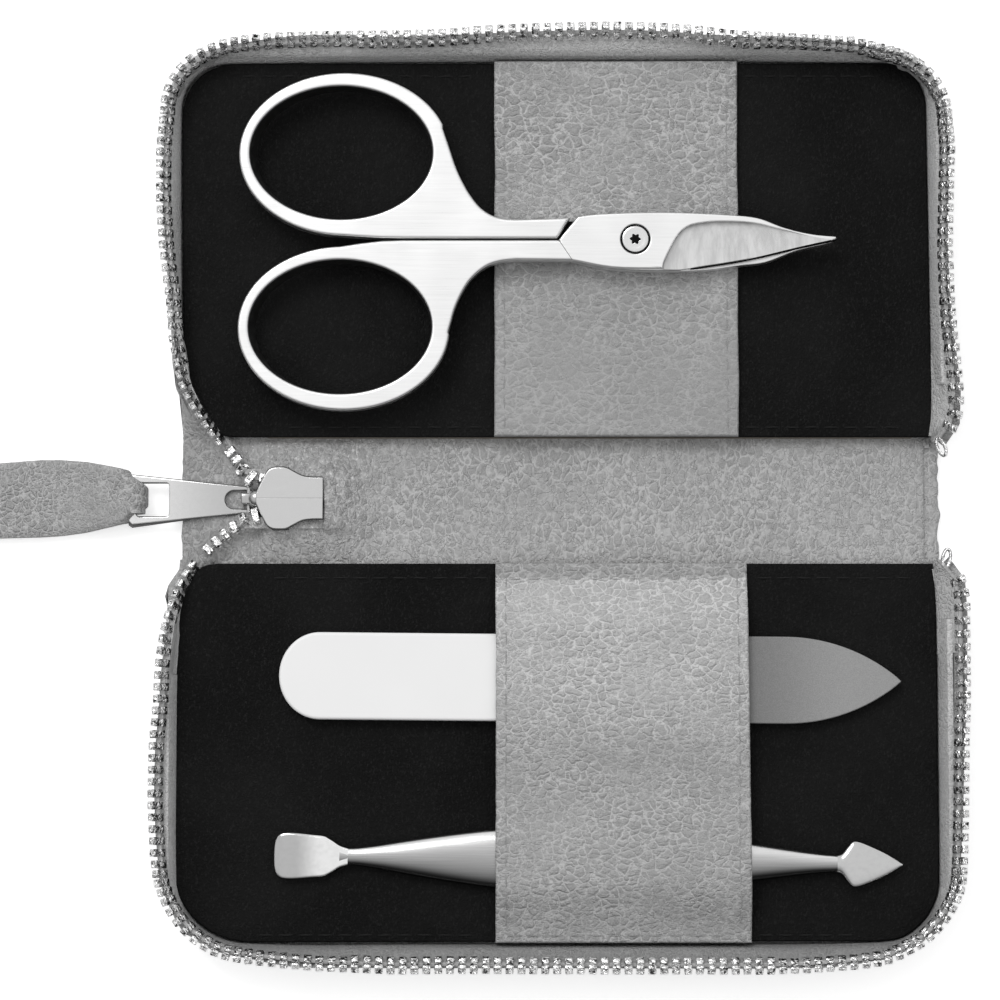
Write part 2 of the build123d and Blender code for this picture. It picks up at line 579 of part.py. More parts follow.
def both_sides(points, start=0):
    """Closed outline from its upper half, mirrored on the slider's middle line."""
    upper = [(start + x, SLIDER_Y + y) for x, y in points]
    lower = [(start + x, SLIDER_Y - y) for x, y in reversed(points)]
    return upper + lower


# ---------------------------------------------------------------- slider, pull and leather strap
def slider_body():
    """Two plates joined by a wedge at the wide end, with side walls that hold the teeth in."""
    low = SLIDER_Z - CHANNEL / 2 - PLATE
    with BuildPart() as slider:
        with BuildSketch(Plane.XY.offset(low)) as outline:
            Polygon(*both_sides(SLIDER_OUTLINE, SLIDER_X), align=None)
        extrude(amount=CHANNEL + 2 * PLATE)
        with BuildSketch(Plane.XY.offset(SLIDER_Z)):
            Polygon(*both_sides(CHANNEL_OUTLINE, SLIDER_X), align=None)
        extrude(amount=CHANNEL / 2, both=True, mode=Mode.SUBTRACT)
        with BuildSketch(Plane.XY.offset(SLIDER_Z)):
            Polygon(*both_sides(((-6, 6), (14, 6)), SLIDER_X), align=None)
        extrude(amount=TAPE_SLOT / 2, both=True, mode=Mode.SUBTRACT)
        with BuildSketch(Plane.XY.offset(low)):
            Polygon(*both_sides(WEDGE, SLIDER_X), align=None)
        extrude(amount=CHANNEL + 2 * PLATE)
    return slider.part


def slider_bridge():
    """Bridge crimped under the slider: its loop holds the pull's end bar."""
    plate_low = SLIDER_Z - CHANNEL / 2 - PLATE
    x, z = PULL_PIVOT
    front = x - PULL_THICK / 2 - BRIDGE_PLAY
    rear = x + BRIDGE_REACH
    nose = SLIDER_X + WEDGE[0][0]
    with BuildPart() as bridge:
        with BuildSketch(Plane.XZ.offset(-SLIDER_Y)):
            Polygon(
                (front - BRIDGE, BRIDGE_FLOOR), (rear + BRIDGE, BRIDGE_FLOOR), (rear + BRIDGE, plate_low),
                (rear, plate_low), (rear, BRIDGE_FLOOR + BRIDGE), (front, BRIDGE_FLOOR + BRIDGE),
                (front, plate_low + BRIDGE), (nose, plate_low + BRIDGE), (nose, SLIDER_Z + BRIDGE),
                (front - BRIDGE, SLIDER_Z + BRIDGE), align=None,
            )
        extrude(amount=BRIDGE_HALF, both=True)
        fillet(bridge.edges().filter_by(Axis.Y).group_by(Axis.X)[0], BRIDGE_ROUND)
    return bridge.part


def pull_tab():
    """Tapered metal pull: slot and round bar for the bridge, window and bar for the strap."""
    x, z = PULL_PIVOT
    radius = PULL_THICK / 2
    window = PULL_WINDOW_END - PULL_WINDOW_START
    with BuildPart() as pull:
        with BuildSketch(Plane.XY.offset(z - radius)) as outline:
            Polygon(*both_sides(((PULL_END, PULL_WIDE), (x - 1.5, PULL_EYE), (x, PULL_EYE))), align=None)
            chamfer(outline.vertices().group_by(Axis.X)[0], PULL_CORNER)
            Polygon(*both_sides(((PULL_SLOT_END + PULL_SLOT, PULL_SLOT), (x - radius, PULL_SLOT))),
                    align=None, mode=Mode.SUBTRACT)
            with Locations((PULL_SLOT_END + PULL_SLOT, SLIDER_Y)):
                Circle(PULL_SLOT, mode=Mode.SUBTRACT)
            with Locations((PULL_WINDOW_START + window / 2, SLIDER_Y)):
                Rectangle(window, 2 * PULL_WINDOW, mode=Mode.SUBTRACT)
        extrude(amount=PULL_THICK)
        with BuildSketch(Plane.XZ.offset(-SLIDER_Y)):
            with Locations((x, z)):
                Circle(radius)
        extrude(amount=PULL_EYE, both=True)
    return pull.part


def pull_strap():
    """Leather strap: looped round the pull's bar, sloping down, then flat along the table."""
    _, z = PULL_PIVOT
    thick = 2 * STRAP_PLY
    end = STRAP_END + STRAP_HALF
    with BuildPart() as strap:
        with BuildSketch(Plane.XZ.offset(-SLIDER_Y)):
            Polygon(*[(BAR_X + x, z + up) for x, up in STRAP_OVER],
                    (STRAP_LANDING, thick), (STRAP_END, thick), (STRAP_END, 0), (STRAP_LANDING, 0),
                    *[(BAR_X + x, z - down) for x, down in STRAP_UNDER], align=None)
            with Locations((BAR_X, z)):
                Circle(STRAP_BORE + STRAP_PLY)
                Circle(STRAP_BORE, mode=Mode.SUBTRACT)
        extrude(amount=STRAP_HALF, both=True)
        with BuildSketch(Plane.XY):
            Polygon(*both_sides(STRAP_OUTLINE), align=None)
            with Locations((end, SLIDER_Y)):
                Circle(STRAP_HALF)
        extrude(amount=10, mode=Mode.INTERSECT)
    return strap.part


# ---------------------------------------------------------------- retaining bands
def band_upper():
    """Leather band across the upper tray: sewn at both ends, empty, with the scissors on it."""
    left, right = BAND_X["upper"]
    near, far = TRAY_NEAR + 0.1, TRAY_FAR - 0.2
    middle = (near + far) / 2
    with BuildPart() as band:
        with BuildSketch(Plane.YZ.offset(left)):
            with BuildLine():
                ThreePointArc((near, LINER_TOP), (middle, LINER_TOP + BAND_RISE), (far, LINER_TOP))
                Line((far, LINER_TOP), (far, LINER_TOP + BAND))
                ThreePointArc((far, LINER_TOP + BAND), (middle, LINER_TOP + BAND_RISE + BAND),
                              (near, LINER_TOP + BAND))
                Line((near, LINER_TOP + BAND), (near, LINER_TOP))
            make_face()
        extrude(amount=right - left)
    return band.part


def band_lower():
    """Leather band across the lower tray, raised over the nail file and over the cuticle tool."""
    left, right = BAND_X["lower"]
    near, far = TRAY_NEAR + 0.1, TRAY_FAR - 0.2
    file_top = LINER_TOP + FILE_HANDLE_THICK + REST + CLEAR
    tool_top = LINER_TOP + TOOL_THICK + REST + CLEAR
    path = [(near, LINER_TOP)]
    for centre, half_width, top in (
        (FILE_UNDER_BAND, FILE_WIDTH / 2 + 1.1, file_top),
        (TOOL_UNDER_BAND, TOOL_HALF_WIDTH + 0.7, tool_top),
    ):
        path += [
            (centre - half_width - BAND_SLOPE, LINER_TOP), (centre - half_width, top),
            (centre + half_width, top), (centre + half_width + BAND_SLOPE, LINER_TOP),
        ]
    path.append((far, LINER_TOP))
    raised = [(y, z + BAND) for y, z in reversed(path)]
    with BuildPart() as band:
        with BuildSketch(Plane.YZ.offset(left)) as profile:
            Polygon(*path, *raised, align=None)
            chamfer(profile.vertices().filter_by(lambda v: near + 1 < v.X < far - 1), BAND_BEND)
        extrude(amount=right - left)
        mirror(about=Plane.XZ, mode=Mode.REPLACE)
    return band.part


# ---------------------------------------------------------------- scissors
def from_screw(points):
    return [(SCREW[0] + x, SCREW[1] + y) for x, y in points]


def scissor_half(half):
    """One half: "under" has the upper loop and the under blade, "top" the lower loop and the top blade."""
    under = half == "under"
    side = 1 if under else -1
    blade_low = SCISSOR_BASE if under else SCISSOR_TOP - BLADE
    shank = SHANK[half]
    (cx, cy), = from_screw([LOOP_CENTRE[half]])
    loop_plane = Plane.XY.offset(SCISSOR_TOP - LOOP_DROP - LOOP_THICK)
    edge = shank[0][1]
    with BuildPart() as scissor:
        with BuildSketch(loop_plane):
            with Locations((cx, cy)):
                Ellipse(LOOP_R[0] + LOOP_RING, LOOP_R[1] + LOOP_RING)
                Ellipse(*LOOP_R, mode=Mode.SUBTRACT)
        extrude(amount=LOOP_THICK)
        with BuildSketch(loop_plane):
            with BuildLine():
                Polyline(*from_screw(FLARE[half]), *from_screw([shank[0]]),
                         (cx - LOOP_RING, SCREW[1] + edge), (cx, cy), close=True)
            make_face()
            with Locations((cx, cy)):
                Ellipse(*LOOP_R, mode=Mode.SUBTRACT)
        extrude(amount=LOOP_THICK)
        with BuildSketch(loop_plane):
            beyond = edge - side * FAR
            Polygon(*from_screw([(-FAR, edge), (FAR, edge), (FAR, beyond), (-FAR, beyond)]), align=None)
        extrude(amount=LOOP_THICK, mode=Mode.SUBTRACT)
        with BuildSketch(Plane.XY.offset(SCISSOR_BASE)):
            Polygon(*from_screw(shank), align=None)
        extrude(amount=SCISSOR_TOP - SCISSOR_BASE)
        with BuildSketch(Plane.XY.offset(blade_low)):
            outline = BLADE_START[half] + BLADE_BACK[half][1:] + BLADE_EDGE[half][1:] + BLADE_HEEL[half][1:-1]
            Polygon(*from_screw(outline), align=None)
        extrude(amount=BLADE)
        outer = SCISSOR_BASE if under else SCISSOR_TOP
        with BuildSketch(Plane.XZ.offset(-SCREW[1] - FAR / 2)):
            tip = SCREW[0] + BLADE_BACK[half][-1][0] + REST
            Polygon((SCREW[0] + TIP_START, outer), (tip, outer), (tip, outer + side * TIP_THIN), align=None)
        extrude(amount=FAR, mode=Mode.SUBTRACT)
        with Locations((*SCREW, SCISSOR_BASE)):
            Cylinder(SCREW_R if under else SCREW_R + PIVOT_PLAY, 5 * BLADE, mode=Mode.SUBTRACT)
        if not under:
            with Locations((*SCREW, SCISSOR_TOP)):
                Cylinder(SCREW_HEAD_R + PIVOT_PLAY, 2 * SCREW_SINK, mode=Mode.SUBTRACT)
    return scissor.part


def scissor_screw():
    """Pivot screw, riveted into the under half; its head runs in the top half's recess."""
    head_low = SCISSOR_TOP - SCREW_SINK + BLADE_GAP
    with BuildPart() as screw:
        with BuildSketch(Plane.XY.offset(SCISSOR_BASE + PIVOT_PLAY)):
            with Locations(SCREW):
                Circle(SCREW_R)
        extrude(amount=head_low - SCISSOR_BASE)
        with BuildSketch(Plane.XY.offset(head_low)):
            with Locations(SCREW):
                Circle(SCREW_HEAD_R)
        extrude(amount=SCREW_SINK + 0.05)
    return screw.part


# ---------------------------------------------------------------- nail file and cuticle tool
def lying_plane(start, turn, height):
    """Plane of a tool that lies in a tray: X along the tool from its left end."""
    along = (cos(radians(turn)), sin(radians(turn)), 0)
    return Plane(origin=(start[0], start[1], height), x_dir=along, z_dir=(0, 0, 1))


def nail_file_blade():
    low = LINER_TOP + REST + (FILE_HANDLE_THICK - FILE_BLADE_THICK) / 2
    half = FILE_WIDTH / 2
    with BuildPart() as blade:
        with BuildSketch(lying_plane(FILE_START, FILE_TURN, low)):
            with BuildLine():
                shoulder = FILE_LENGTH - FILE_LEAF
                bow = shoulder + LEAF_BOW[0] * FILE_LEAF
                ThreePointArc((shoulder, half), (bow, LEAF_BOW[1] * half), (FILE_LENGTH, 0))
                ThreePointArc((FILE_LENGTH, 0), (bow, -LEAF_BOW[1] * half), (shoulder, -half))
                tang = FILE_HANDLE - TANG_LENGTH
                Polyline((shoulder, -half), (FILE_HANDLE, -half), (FILE_HANDLE, -TANG_WIDTH / 2),
                         (tang, -TANG_WIDTH / 2), (tang, TANG_WIDTH / 2),
                         (FILE_HANDLE, TANG_WIDTH / 2), (FILE_HANDLE, half), (shoulder, half))
            make_face()
        extrude(amount=FILE_BLADE_THICK)
        chamfer(blade.edges().filter_by(lambda e: e.geom_type == GeomType.CIRCLE), FILE_BEVEL)
    return blade.part


def nail_file_handle():
    low = LINER_TOP + REST
    half = FILE_WIDTH / 2
    with BuildPart() as handle:
        with BuildSketch(lying_plane(FILE_START, FILE_TURN, low)) as outline:
            with Locations((FILE_HANDLE / 2, 0)):
                Rectangle(FILE_HANDLE, FILE_WIDTH)
            fillet(outline.vertices().group_by(Axis.X)[0], half - HANDLE_BEVEL)
        extrude(amount=FILE_HANDLE_THICK)
        chamfer(handle.faces().sort_by(Axis.Z)[-1].edges().sort_by(Axis.X)[:-1], HANDLE_BEVEL)
        slot_low = low + (FILE_HANDLE_THICK - FILE_BLADE_THICK) / 2
        with BuildSketch(lying_plane(FILE_START, FILE_TURN, slot_low)):
            with Locations((FILE_HANDLE - TANG_LENGTH / 2, 0)):
                Rectangle(TANG_LENGTH, TANG_WIDTH)
        extrude(amount=FILE_BLADE_THICK, mode=Mode.SUBTRACT)
    return handle.part


def cuticle_tool():
    """Double-ended tool: a plan outline cut to its side view."""
    plane = lying_plane(TOOL_START, TOOL_TURN, LINER_TOP + REST)
    middle = TOOL_THICK / 2
    with BuildPart() as tool:
        with BuildSketch(plane):
            with BuildLine():
                for side in (1, -1):
                    Polyline(*[(x, side * y) for x, y in PUSHER])
                    Spline(*[(x, side * y) for x, y in TOOL_BODY])
                    Polyline(*[(x, side * y) for x, y in SPEAR])
                Line((0, -PUSHER[0][1]), (0, PUSHER[0][1]))
            make_face()
        extrude(amount=TOOL_THICK)
        with BuildSketch(Plane(origin=plane.origin, x_dir=plane.x_dir, z_dir=-plane.y_dir)):
            Polygon(*[(x, middle + t / 2) for x, t in TOOL_SIDE],
                    *[(x, middle - t / 2) for x, t in reversed(TOOL_SIDE)], align=None)
        extrude(amount=FAR, both=True, mode=Mode.INTERSECT)
    return tool.part


for half in ("upper", "lower"):
    save(cover_shell(half), "outer_shell_" + half)
    save(plate(half, LEATHER, BOARD, BOARD_GROW), "stiffener_board_" + half)
    save(plate(half, BOARD_TOP, LINER, -0.1), "liner_" + half)
    save(wall_layer(half, 0, FACING_OUT, BOARD_TOP, FACING_TOP, FACING_NEAR), "wall_facing_" + half)
    save(wall_layer(half, FACING_OUT, TAPE_OUT, BOARD_TOP, RIM_TOP, HINGE_Y), "zip_tape_" + half)
    teeth, stop = rim_teeth(half)
    save(teeth, "zip_teeth_" + half)
    save(stop, "zip_top_stop_" + half)
    save(tape_end(half), "zip_tape_end_" + half)

save(spine_leather(), "spine_leather")
save(spine_lining(), "spine_lining")
save(end_teeth(), "zip_teeth_spine")
save(bottom_stop(), "zip_bottom_stop")
save(slider_body(), "slider_body")
save(slider_bridge(), "slider_bridge")
save(pull_tab(), "pull_tab")
save(pull_strap(), "pull_strap")
save(band_upper(), "retaining_band_upper")
save(band_lower(), "retaining_band_lower")
save(scissor_half("under"), "scissor_blade_under")
save(scissor_half("top"), "scissor_blade_top")
save(scissor_screw(), "scissor_screw")
save(nail_file_blade(), "nail_file_blade")
save(nail_file_handle(), "nail_file_handle")
save(cuticle_tool(), "cuticle_tool")
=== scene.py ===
import json
import math
import random

import bmesh
import bpy
import numpy as np
from mathutils import Matrix, Vector, noise


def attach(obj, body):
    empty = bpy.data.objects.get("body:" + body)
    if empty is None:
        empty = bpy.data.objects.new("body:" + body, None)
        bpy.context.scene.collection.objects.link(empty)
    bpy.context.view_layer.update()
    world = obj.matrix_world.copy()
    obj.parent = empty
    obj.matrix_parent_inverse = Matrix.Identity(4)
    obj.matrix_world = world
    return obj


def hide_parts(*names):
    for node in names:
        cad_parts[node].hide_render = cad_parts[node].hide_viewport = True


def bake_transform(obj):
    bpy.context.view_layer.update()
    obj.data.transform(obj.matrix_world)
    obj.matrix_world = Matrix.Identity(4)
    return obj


MM = 0.001
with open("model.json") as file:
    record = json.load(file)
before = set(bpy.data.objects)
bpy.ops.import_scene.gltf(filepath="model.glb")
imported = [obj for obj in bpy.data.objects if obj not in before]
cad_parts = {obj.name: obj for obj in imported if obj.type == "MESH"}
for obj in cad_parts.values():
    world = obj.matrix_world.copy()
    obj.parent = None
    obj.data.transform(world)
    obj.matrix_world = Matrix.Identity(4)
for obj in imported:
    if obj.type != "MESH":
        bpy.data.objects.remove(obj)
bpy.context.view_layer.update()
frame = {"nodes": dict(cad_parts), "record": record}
nodes = frame["nodes"]
scene = bpy.context.scene
random.seed(4)


# ---------------------------------------------------------------- node materials
class Nodes:
    """A tree of shader nodes, built up socket by socket."""

    def __init__(self, tree):
        self.tree = tree

    def add(self, kind, **settings):
        node = self.tree.nodes.new(kind)
        for key, value in settings.items():
            setattr(node, key, value)
        return node

    def put(self, socket, value):
        if isinstance(value, bpy.types.NodeSocket):
            self.tree.links.new(value, socket)
        elif isinstance(value, tuple) and len(value) == 3 and socket.type == "RGBA":
            socket.default_value = (*value, 1)
        else:
            socket.default_value = value

    def fill(self, node, *places, **named):
        """Give a node its inputs, by place or by name."""
        for key, value in [*enumerate(places), *named.items()]:
            self.put(node.inputs[key], value)
        return node


class Look(Nodes):
    """A material. Its textures are laid out in millimetres."""

    def __init__(self, name, rough=0.5, metal=0.0, spec=0.5):
        self.mat = bpy.data.materials.new(name)
        self.mat.use_nodes = True
        super().__init__(self.mat.node_tree)
        self.shader = self.tree.nodes["Principled BSDF"]
        self.set("Roughness", rough)
        self.set("Metallic", metal)
        self.set("Specular IOR Level", spec)
        coord = self.add("ShaderNodeTexCoord")
        scale = self.add("ShaderNodeVectorMath", operation="SCALE")
        self.place = self.fill(scale, coord.outputs["Object"], Scale=1 / MM).outputs[0]

    def set(self, name, value):
        self.put(self.shader.inputs[name], value)

    def at(self, stretch=(1, 1, 1), shift=(0, 0, 0), turn=0.0, warp=0.0, warp_scale=0.5):
        node = self.add("ShaderNodeMapping")
        self.fill(node, Vector=self.place, Scale=stretch, Location=shift, Rotation=(0, 0, turn))
        if not warp:
            return node.outputs[0]
        bend = self.fill(self.add("ShaderNodeTexNoise"), Vector=self.place, Scale=warp_scale)
        away = self.add("ShaderNodeVectorMath", operation="MULTIPLY_ADD")
        return self.fill(away, bend.outputs["Color"], (warp, warp, warp), node.outputs[0]).outputs[0]

    def noise(self, scale, detail=2.0, vector=None, rough=0.5):
        node = self.add("ShaderNodeTexNoise")
        self.fill(node, Vector=vector or self.place, Scale=scale, Detail=detail, Roughness=rough)
        return node.outputs["Fac"]

    def cells(self, scale, vector, feature="DISTANCE_TO_EDGE"):
        node = self.add("ShaderNodeTexVoronoi", feature=feature)
        return self.fill(node, Vector=vector, Scale=scale).outputs["Distance"]

    def weave(self, scale, distortion=0.0):
        node = self.add("ShaderNodeTexWave", wave_type="BANDS", bands_direction="DIAGONAL")
        return self.fill(node, Vector=self.at(), Scale=scale, Distortion=distortion).outputs["Fac"]

    def span(self, value, low, high, out_low=0.0, out_high=1.0):
        node = self.add("ShaderNodeMapRange", interpolation_type="SMOOTHSTEP")
        limits = {"From Min": low, "From Max": high, "To Min": out_low, "To Max": out_high}
        return self.fill(node, Value=value, **limits).outputs["Result"]

    def calc(self, operation, *values):
        return self.fill(self.add("ShaderNodeMath", operation=operation), *values).outputs[0]

    def times(self, a, b):
        return self.calc("MULTIPLY", a, b)

    def times_plus(self, a, b, c):
        return self.calc("MULTIPLY_ADD", a, b, c)

    def mix(self, fac, a, b):
        node = self.fill(self.add("ShaderNodeMix", data_type="RGBA"), fac)
        self.put(node.inputs[6], a)
        self.put(node.inputs[7], b)
        return node.outputs[2]

    def axis(self, name):
        return self.fill(self.add("ShaderNodeSeparateXYZ"), self.place).outputs[name]

    def facing(self):
        """The X, Y and Z of the way that a surface faces."""
        parts = self.add("ShaderNodeSeparateXYZ")
        return self.fill(parts, self.add("ShaderNodeTexCoord").outputs["Normal"]).outputs

    def bump(self, height, strength, distance):
        node = self.add("ShaderNodeBump")
        return self.fill(node, Height=height, Strength=strength, Distance=distance * MM).outputs[0]


def grey(value):
    return (value, value, value)


BLACK = grey(0.01)


def leather(name, tone, cell=1.0, stretch=(1, 1, 1), crease_highlight_strength=0.5, depth=0.9, folds=0.5, darken_along=(), fade=None,
            walls=None, lift=0.0, sparkle=None, hair=0.13):
    """Pebbled leather: a net of soft pale creases over rounded cells, which fades in and out; the creases'
    paleness is a painted highlight.

    The colour can be darkened along an axis, and fade thins the creases along one. Walls paints shade on what
    faces up the case and what faces left, lift paints light on what faces down it, and sparkle adds painted
    glints, pale flecks that fade in between two X.
    """
    look = Look(name, 0.5, 0, 0.3)
    edge = look.cells(1 / cell, look.at(stretch, warp=1.6, warp_scale=0.55))
    small = look.cells(1.9 / cell, look.at(stretch, (5, 3, 1), warp=1.0, warp_scale=1.3))
    patches = look.span(look.noise(0.12, 3), 0.38, 0.62)
    other = look.span(look.noise(0.16, 3, look.at(shift=(31, 7, 0))), 0.38, 0.62)
    line = look.noise(0.42, 3, look.at(stretch, (9, 9, 0), warp=0.8, warp_scale=0.8), 0.6)
    strand = look.span(look.calc("ABSOLUTE", look.calc("SUBTRACT", line, 0.5), 0.0), 0.0, 0.022, 1, 0)
    crease_highlight = look.times(look.span(edge, 0.0, hair, 1, 0), look.times_plus(patches, 0.5, 0.5))
    crease_highlight = look.times_plus(look.span(small, 0.0, hair * 0.9, 1, 0), look.times(other, 0.55), crease_highlight)
    crease_highlight = look.times_plus(strand, folds, crease_highlight)
    crease_highlight = look.calc("MINIMUM", crease_highlight, 1.0)
    fine = look.noise(6.5, 3, rough=0.65)
    height = look.times(look.span(edge, 0, 0.34), look.times_plus(patches, 0.6, 0.4))
    height = look.times_plus(look.span(small, 0, 0.3), 0.35, height)
    height = look.times_plus(fine, 0.28, height)
    height = look.times_plus(strand, folds * 0.9, height)
    clouds = look.noise(0.05, 4, look.at(shift=(20, 0, 0)))
    base = look.mix(look.span(clouds, 0.3, 0.7), grey(tone * 0.93), grey(tone * 1.07))
    pores = look.span(fine, 0.32, 0.72)
    base = look.mix(pores, look.mix(0.85, grey(tone * 0.5), base), look.mix(0.8, grey(tone * 1.6), base))
    if fade:
        amount = look.span(look.axis(fade[0]), *fade[1:])
        crease_highlight = look.times(crease_highlight, amount)
        height = look.times(height, amount)
    # Painted highlight: the creases are lightened, as if light caught along them.
    base = look.mix(look.times(crease_highlight, crease_highlight_strength), base, grey(min(1, tone * 1.75)))
    # Painted glints: pale flecks that fade in between two X.
    if sparkle:
        painted_glint = look.span(look.noise(2.1, 3, rough=0.7), 0.57, 0.66)
        near = look.times(look.span(look.axis("X"), *sparkle), look.span(look.axis("X"), -52, -46))
        base = look.mix(look.times(painted_glint, look.times(near, 0.55)), base, grey(0.95))
    # Darker along an axis; on the lower band this is painted shade.
    for axis, *limits in darken_along:
        base = look.mix(look.span(look.axis(axis), *limits), BLACK, base)
    # Painted shade and light: darker where a surface faces up the case or left, paler where it faces down the
    # case.
    if walls:
        facing = look.facing()
        base = look.mix(look.span(facing["Y"], 0.1, 0.6, 1.0, walls[0]), BLACK, base)
        base = look.mix(look.span(facing["X"], -0.6, -0.1, walls[1], 1.0), BLACK, base)
        base = look.mix(look.span(facing["Y"], -0.7, -0.06, lift, 0.0), base, grey(0.62))
    look.set("Base Color", base)
    look.set("Roughness", look.span(fine, 0.2, 0.8, 0.58, 0.42))
    look.set("Normal", look.bump(height, depth, 0.17))
    return look.mat


def liner_look():
    """Fine black grain with a few pale flecks."""
    look = Look("liner_black_grain", 0.62, 0, 0.10)
    grain = look.cells(1.9, look.at(warp=0.5, warp_scale=1.4))
    fine = look.noise(7, 3, rough=0.65)
    flecks = look.span(look.noise(2.6, 4, look.at((1.6, 0.8, 1)), rough=0.7), 0.5, 0.72)
    clouds = look.span(look.noise(0.06, 3), 0.3, 0.7)
    base = look.mix(clouds, grey(0.002), grey(0.006))
    look.set("Base Color", look.mix(flecks, base, grey(0.016)))
    look.set("Normal", look.bump(look.times_plus(fine, 0.6, look.span(grain, 0, 0.35)), 0.8, 0.06))
    return look.mat


def steel(name, tone, rough, stretch=(0.05, 3.0, 1.0), depth=0.12, stripes=0.06, turn=0.0, rounded=None):
    """Brushed or satin metal, with its fine lines along one way.

    Rounded is (Y from, Y to, dark) of the way it faces: painted shade, darker where a round bar turns down
    the case.
    """
    look = Look(name, rough, 1.0)
    lines = look.noise(2.2, 4, look.at(stretch, turn=turn), 0.7)
    clouds = look.noise(0.14, 2)
    base = look.mix(look.span(lines, 0.3, 0.7), grey(tone * (1 - stripes)), grey(tone))
    # Painted shade on the side of a round bar that turns down the case.
    if rounded:
        base = look.mix(look.span(look.facing()["Y"], *rounded, 1.0), grey(0.02), base)
    look.set("Base Color", base)
    smear = look.span(clouds, 0.3, 0.7, rough - 0.09, rough - 0.03)
    look.set("Roughness", look.times_plus(lines, 0.12, smear))
    look.set("Normal", look.bump(lines, depth, 0.01))
    return look.mat


def polished(name, tone=0.8, rough=0.14, shade=None, line=False):
    """Plated metal. Shade is (from X, to X, tone there), a painted shading along X; line draws the groove
    along the slider.
    """
    look = Look(name, rough, 1.0)
    wear = look.noise(1.3, 3)
    base = grey(tone)
    # Painted shading: the tone changes along X, as light falls along the part.
    if shade:
        base = look.mix(look.span(look.axis("X"), shade[0], shade[1]), grey(shade[2]), grey(tone))
    base = look.mix(look.span(wear, 0.35, 0.75, 0, 0.12), base, grey(tone * 0.7))
    height = look.times(look.noise(9, 3, rough=0.7), 0.2)
    if line:
        off = look.calc("ABSOLUTE", look.calc("SUBTRACT", look.axis("Y"), 0.5), 0.0)
        groove = look.span(off, 0.02, 0.09, 1, 0)
        base = look.mix(look.times(groove, 0.45), base, grey(0.25))
        height = look.calc("SUBTRACT", height, groove)
    look.set("Base Color", base)
    look.set("Roughness", look.span(wear, 0.3, 0.7, rough * 0.8, rough * 1.3))
    look.set("Normal", look.bump(height, 0.25, 0.03))
    return look.mat


def nickel_spark(name):
    """Small bright nickel, its colour painted with patches of dark and bright reflection."""
    look = Look(name, 0.14, 1.0)
    reflection_patch = look.span(look.noise(1.6, 3, rough=0.6), 0.36, 0.47)
    # Painted reflection: patches of near black and white stand for the dark and light that the nickel
    # mirrors.
    look.set("Base Color", look.mix(reflection_patch, grey(0.10), grey(1.0)))
    look.set("Roughness", look.span(reflection_patch, 0, 1, 0.22, 0.12))
    look.set("Normal", look.bump(look.noise(2.2, 2), 0.8, 0.35))
    return look.mat


def tape_look():
    look = Look("zip_tape_weave", 0.8, 0, 0.2)
    weave = look.weave(1.6, 1.0)
    fine = look.noise(4.5, 3)
    look.set("Base Color", look.mix(fine, grey(0.07), grey(0.2)))
    look.set("Normal", look.bump(look.times_plus(fine, 0.5, weave), 0.7, 0.08))
    return look.mat


def board_look():
    look = Look("pressed_board", 0.85, 0, 0.2)
    fine = look.noise(2.5, 4, rough=0.7)
    look.set("Base Color", look.mix(fine, (0.16, 0.14, 0.12), (0.30, 0.27, 0.23)))
    look.set("Normal", look.bump(fine, 0.5, 0.05))
    return look.mat


def file_look():
    """Fine matte grit, with a painted shadow that darkens it towards the handle, where it comes out from
    under the band.
    """
    look = Look("file_grit", 0.55, 0.55, 0.4)
    grit = look.noise(8.5, 3, rough=0.7)
    pits = look.cells(5, look.at(), "F1")
    # Painted shadow: darker where the blade comes out from under the band.
    shade = look.span(look.axis("X"), 27, 42)
    base = look.mix(shade, grey(0.19), grey(0.30))
    grains = look.span(grit, 0.35, 0.7)
    look.set("Base Color", look.mix(grains, base, look.mix(shade, grey(0.27), grey(0.40))))
    look.set("Normal", look.bump(look.times_plus(pits, 0.5, grit), 0.45, 0.02))
    return look.mat


def white_look():
    look = Look("file_handle_white", 0.42, 0, 0.4)
    fine = look.noise(6, 3)
    clouds = look.noise(0.1, 2)
    look.set("Base Color", look.mix(clouds, grey(0.93), grey(0.97)))
    look.set("Roughness", look.span(fine, 0.2, 0.8, 0.38, 0.5))
    look.set("Normal", look.bump(fine, 0.12, 0.01))
    return look.mat


def thread_look(name, tone):
    look = Look(name, 0.7, 0, 0.3)
    twist = look.weave(2.4)
    look.set("Base Color", look.mix(twist, grey(tone * 0.6), grey(tone)))
    look.set("Normal", look.bump(twist, 0.6, 0.04))
    return look.mat


def gap_shadow_look():
    """The shadow in a gap."""
    look = Look("painted_gap_shadow", 0.8, 0, 0.05)
    look.set("Base Color", look.mix(look.noise(2), grey(0.004), grey(0.012)))
    return look.mat


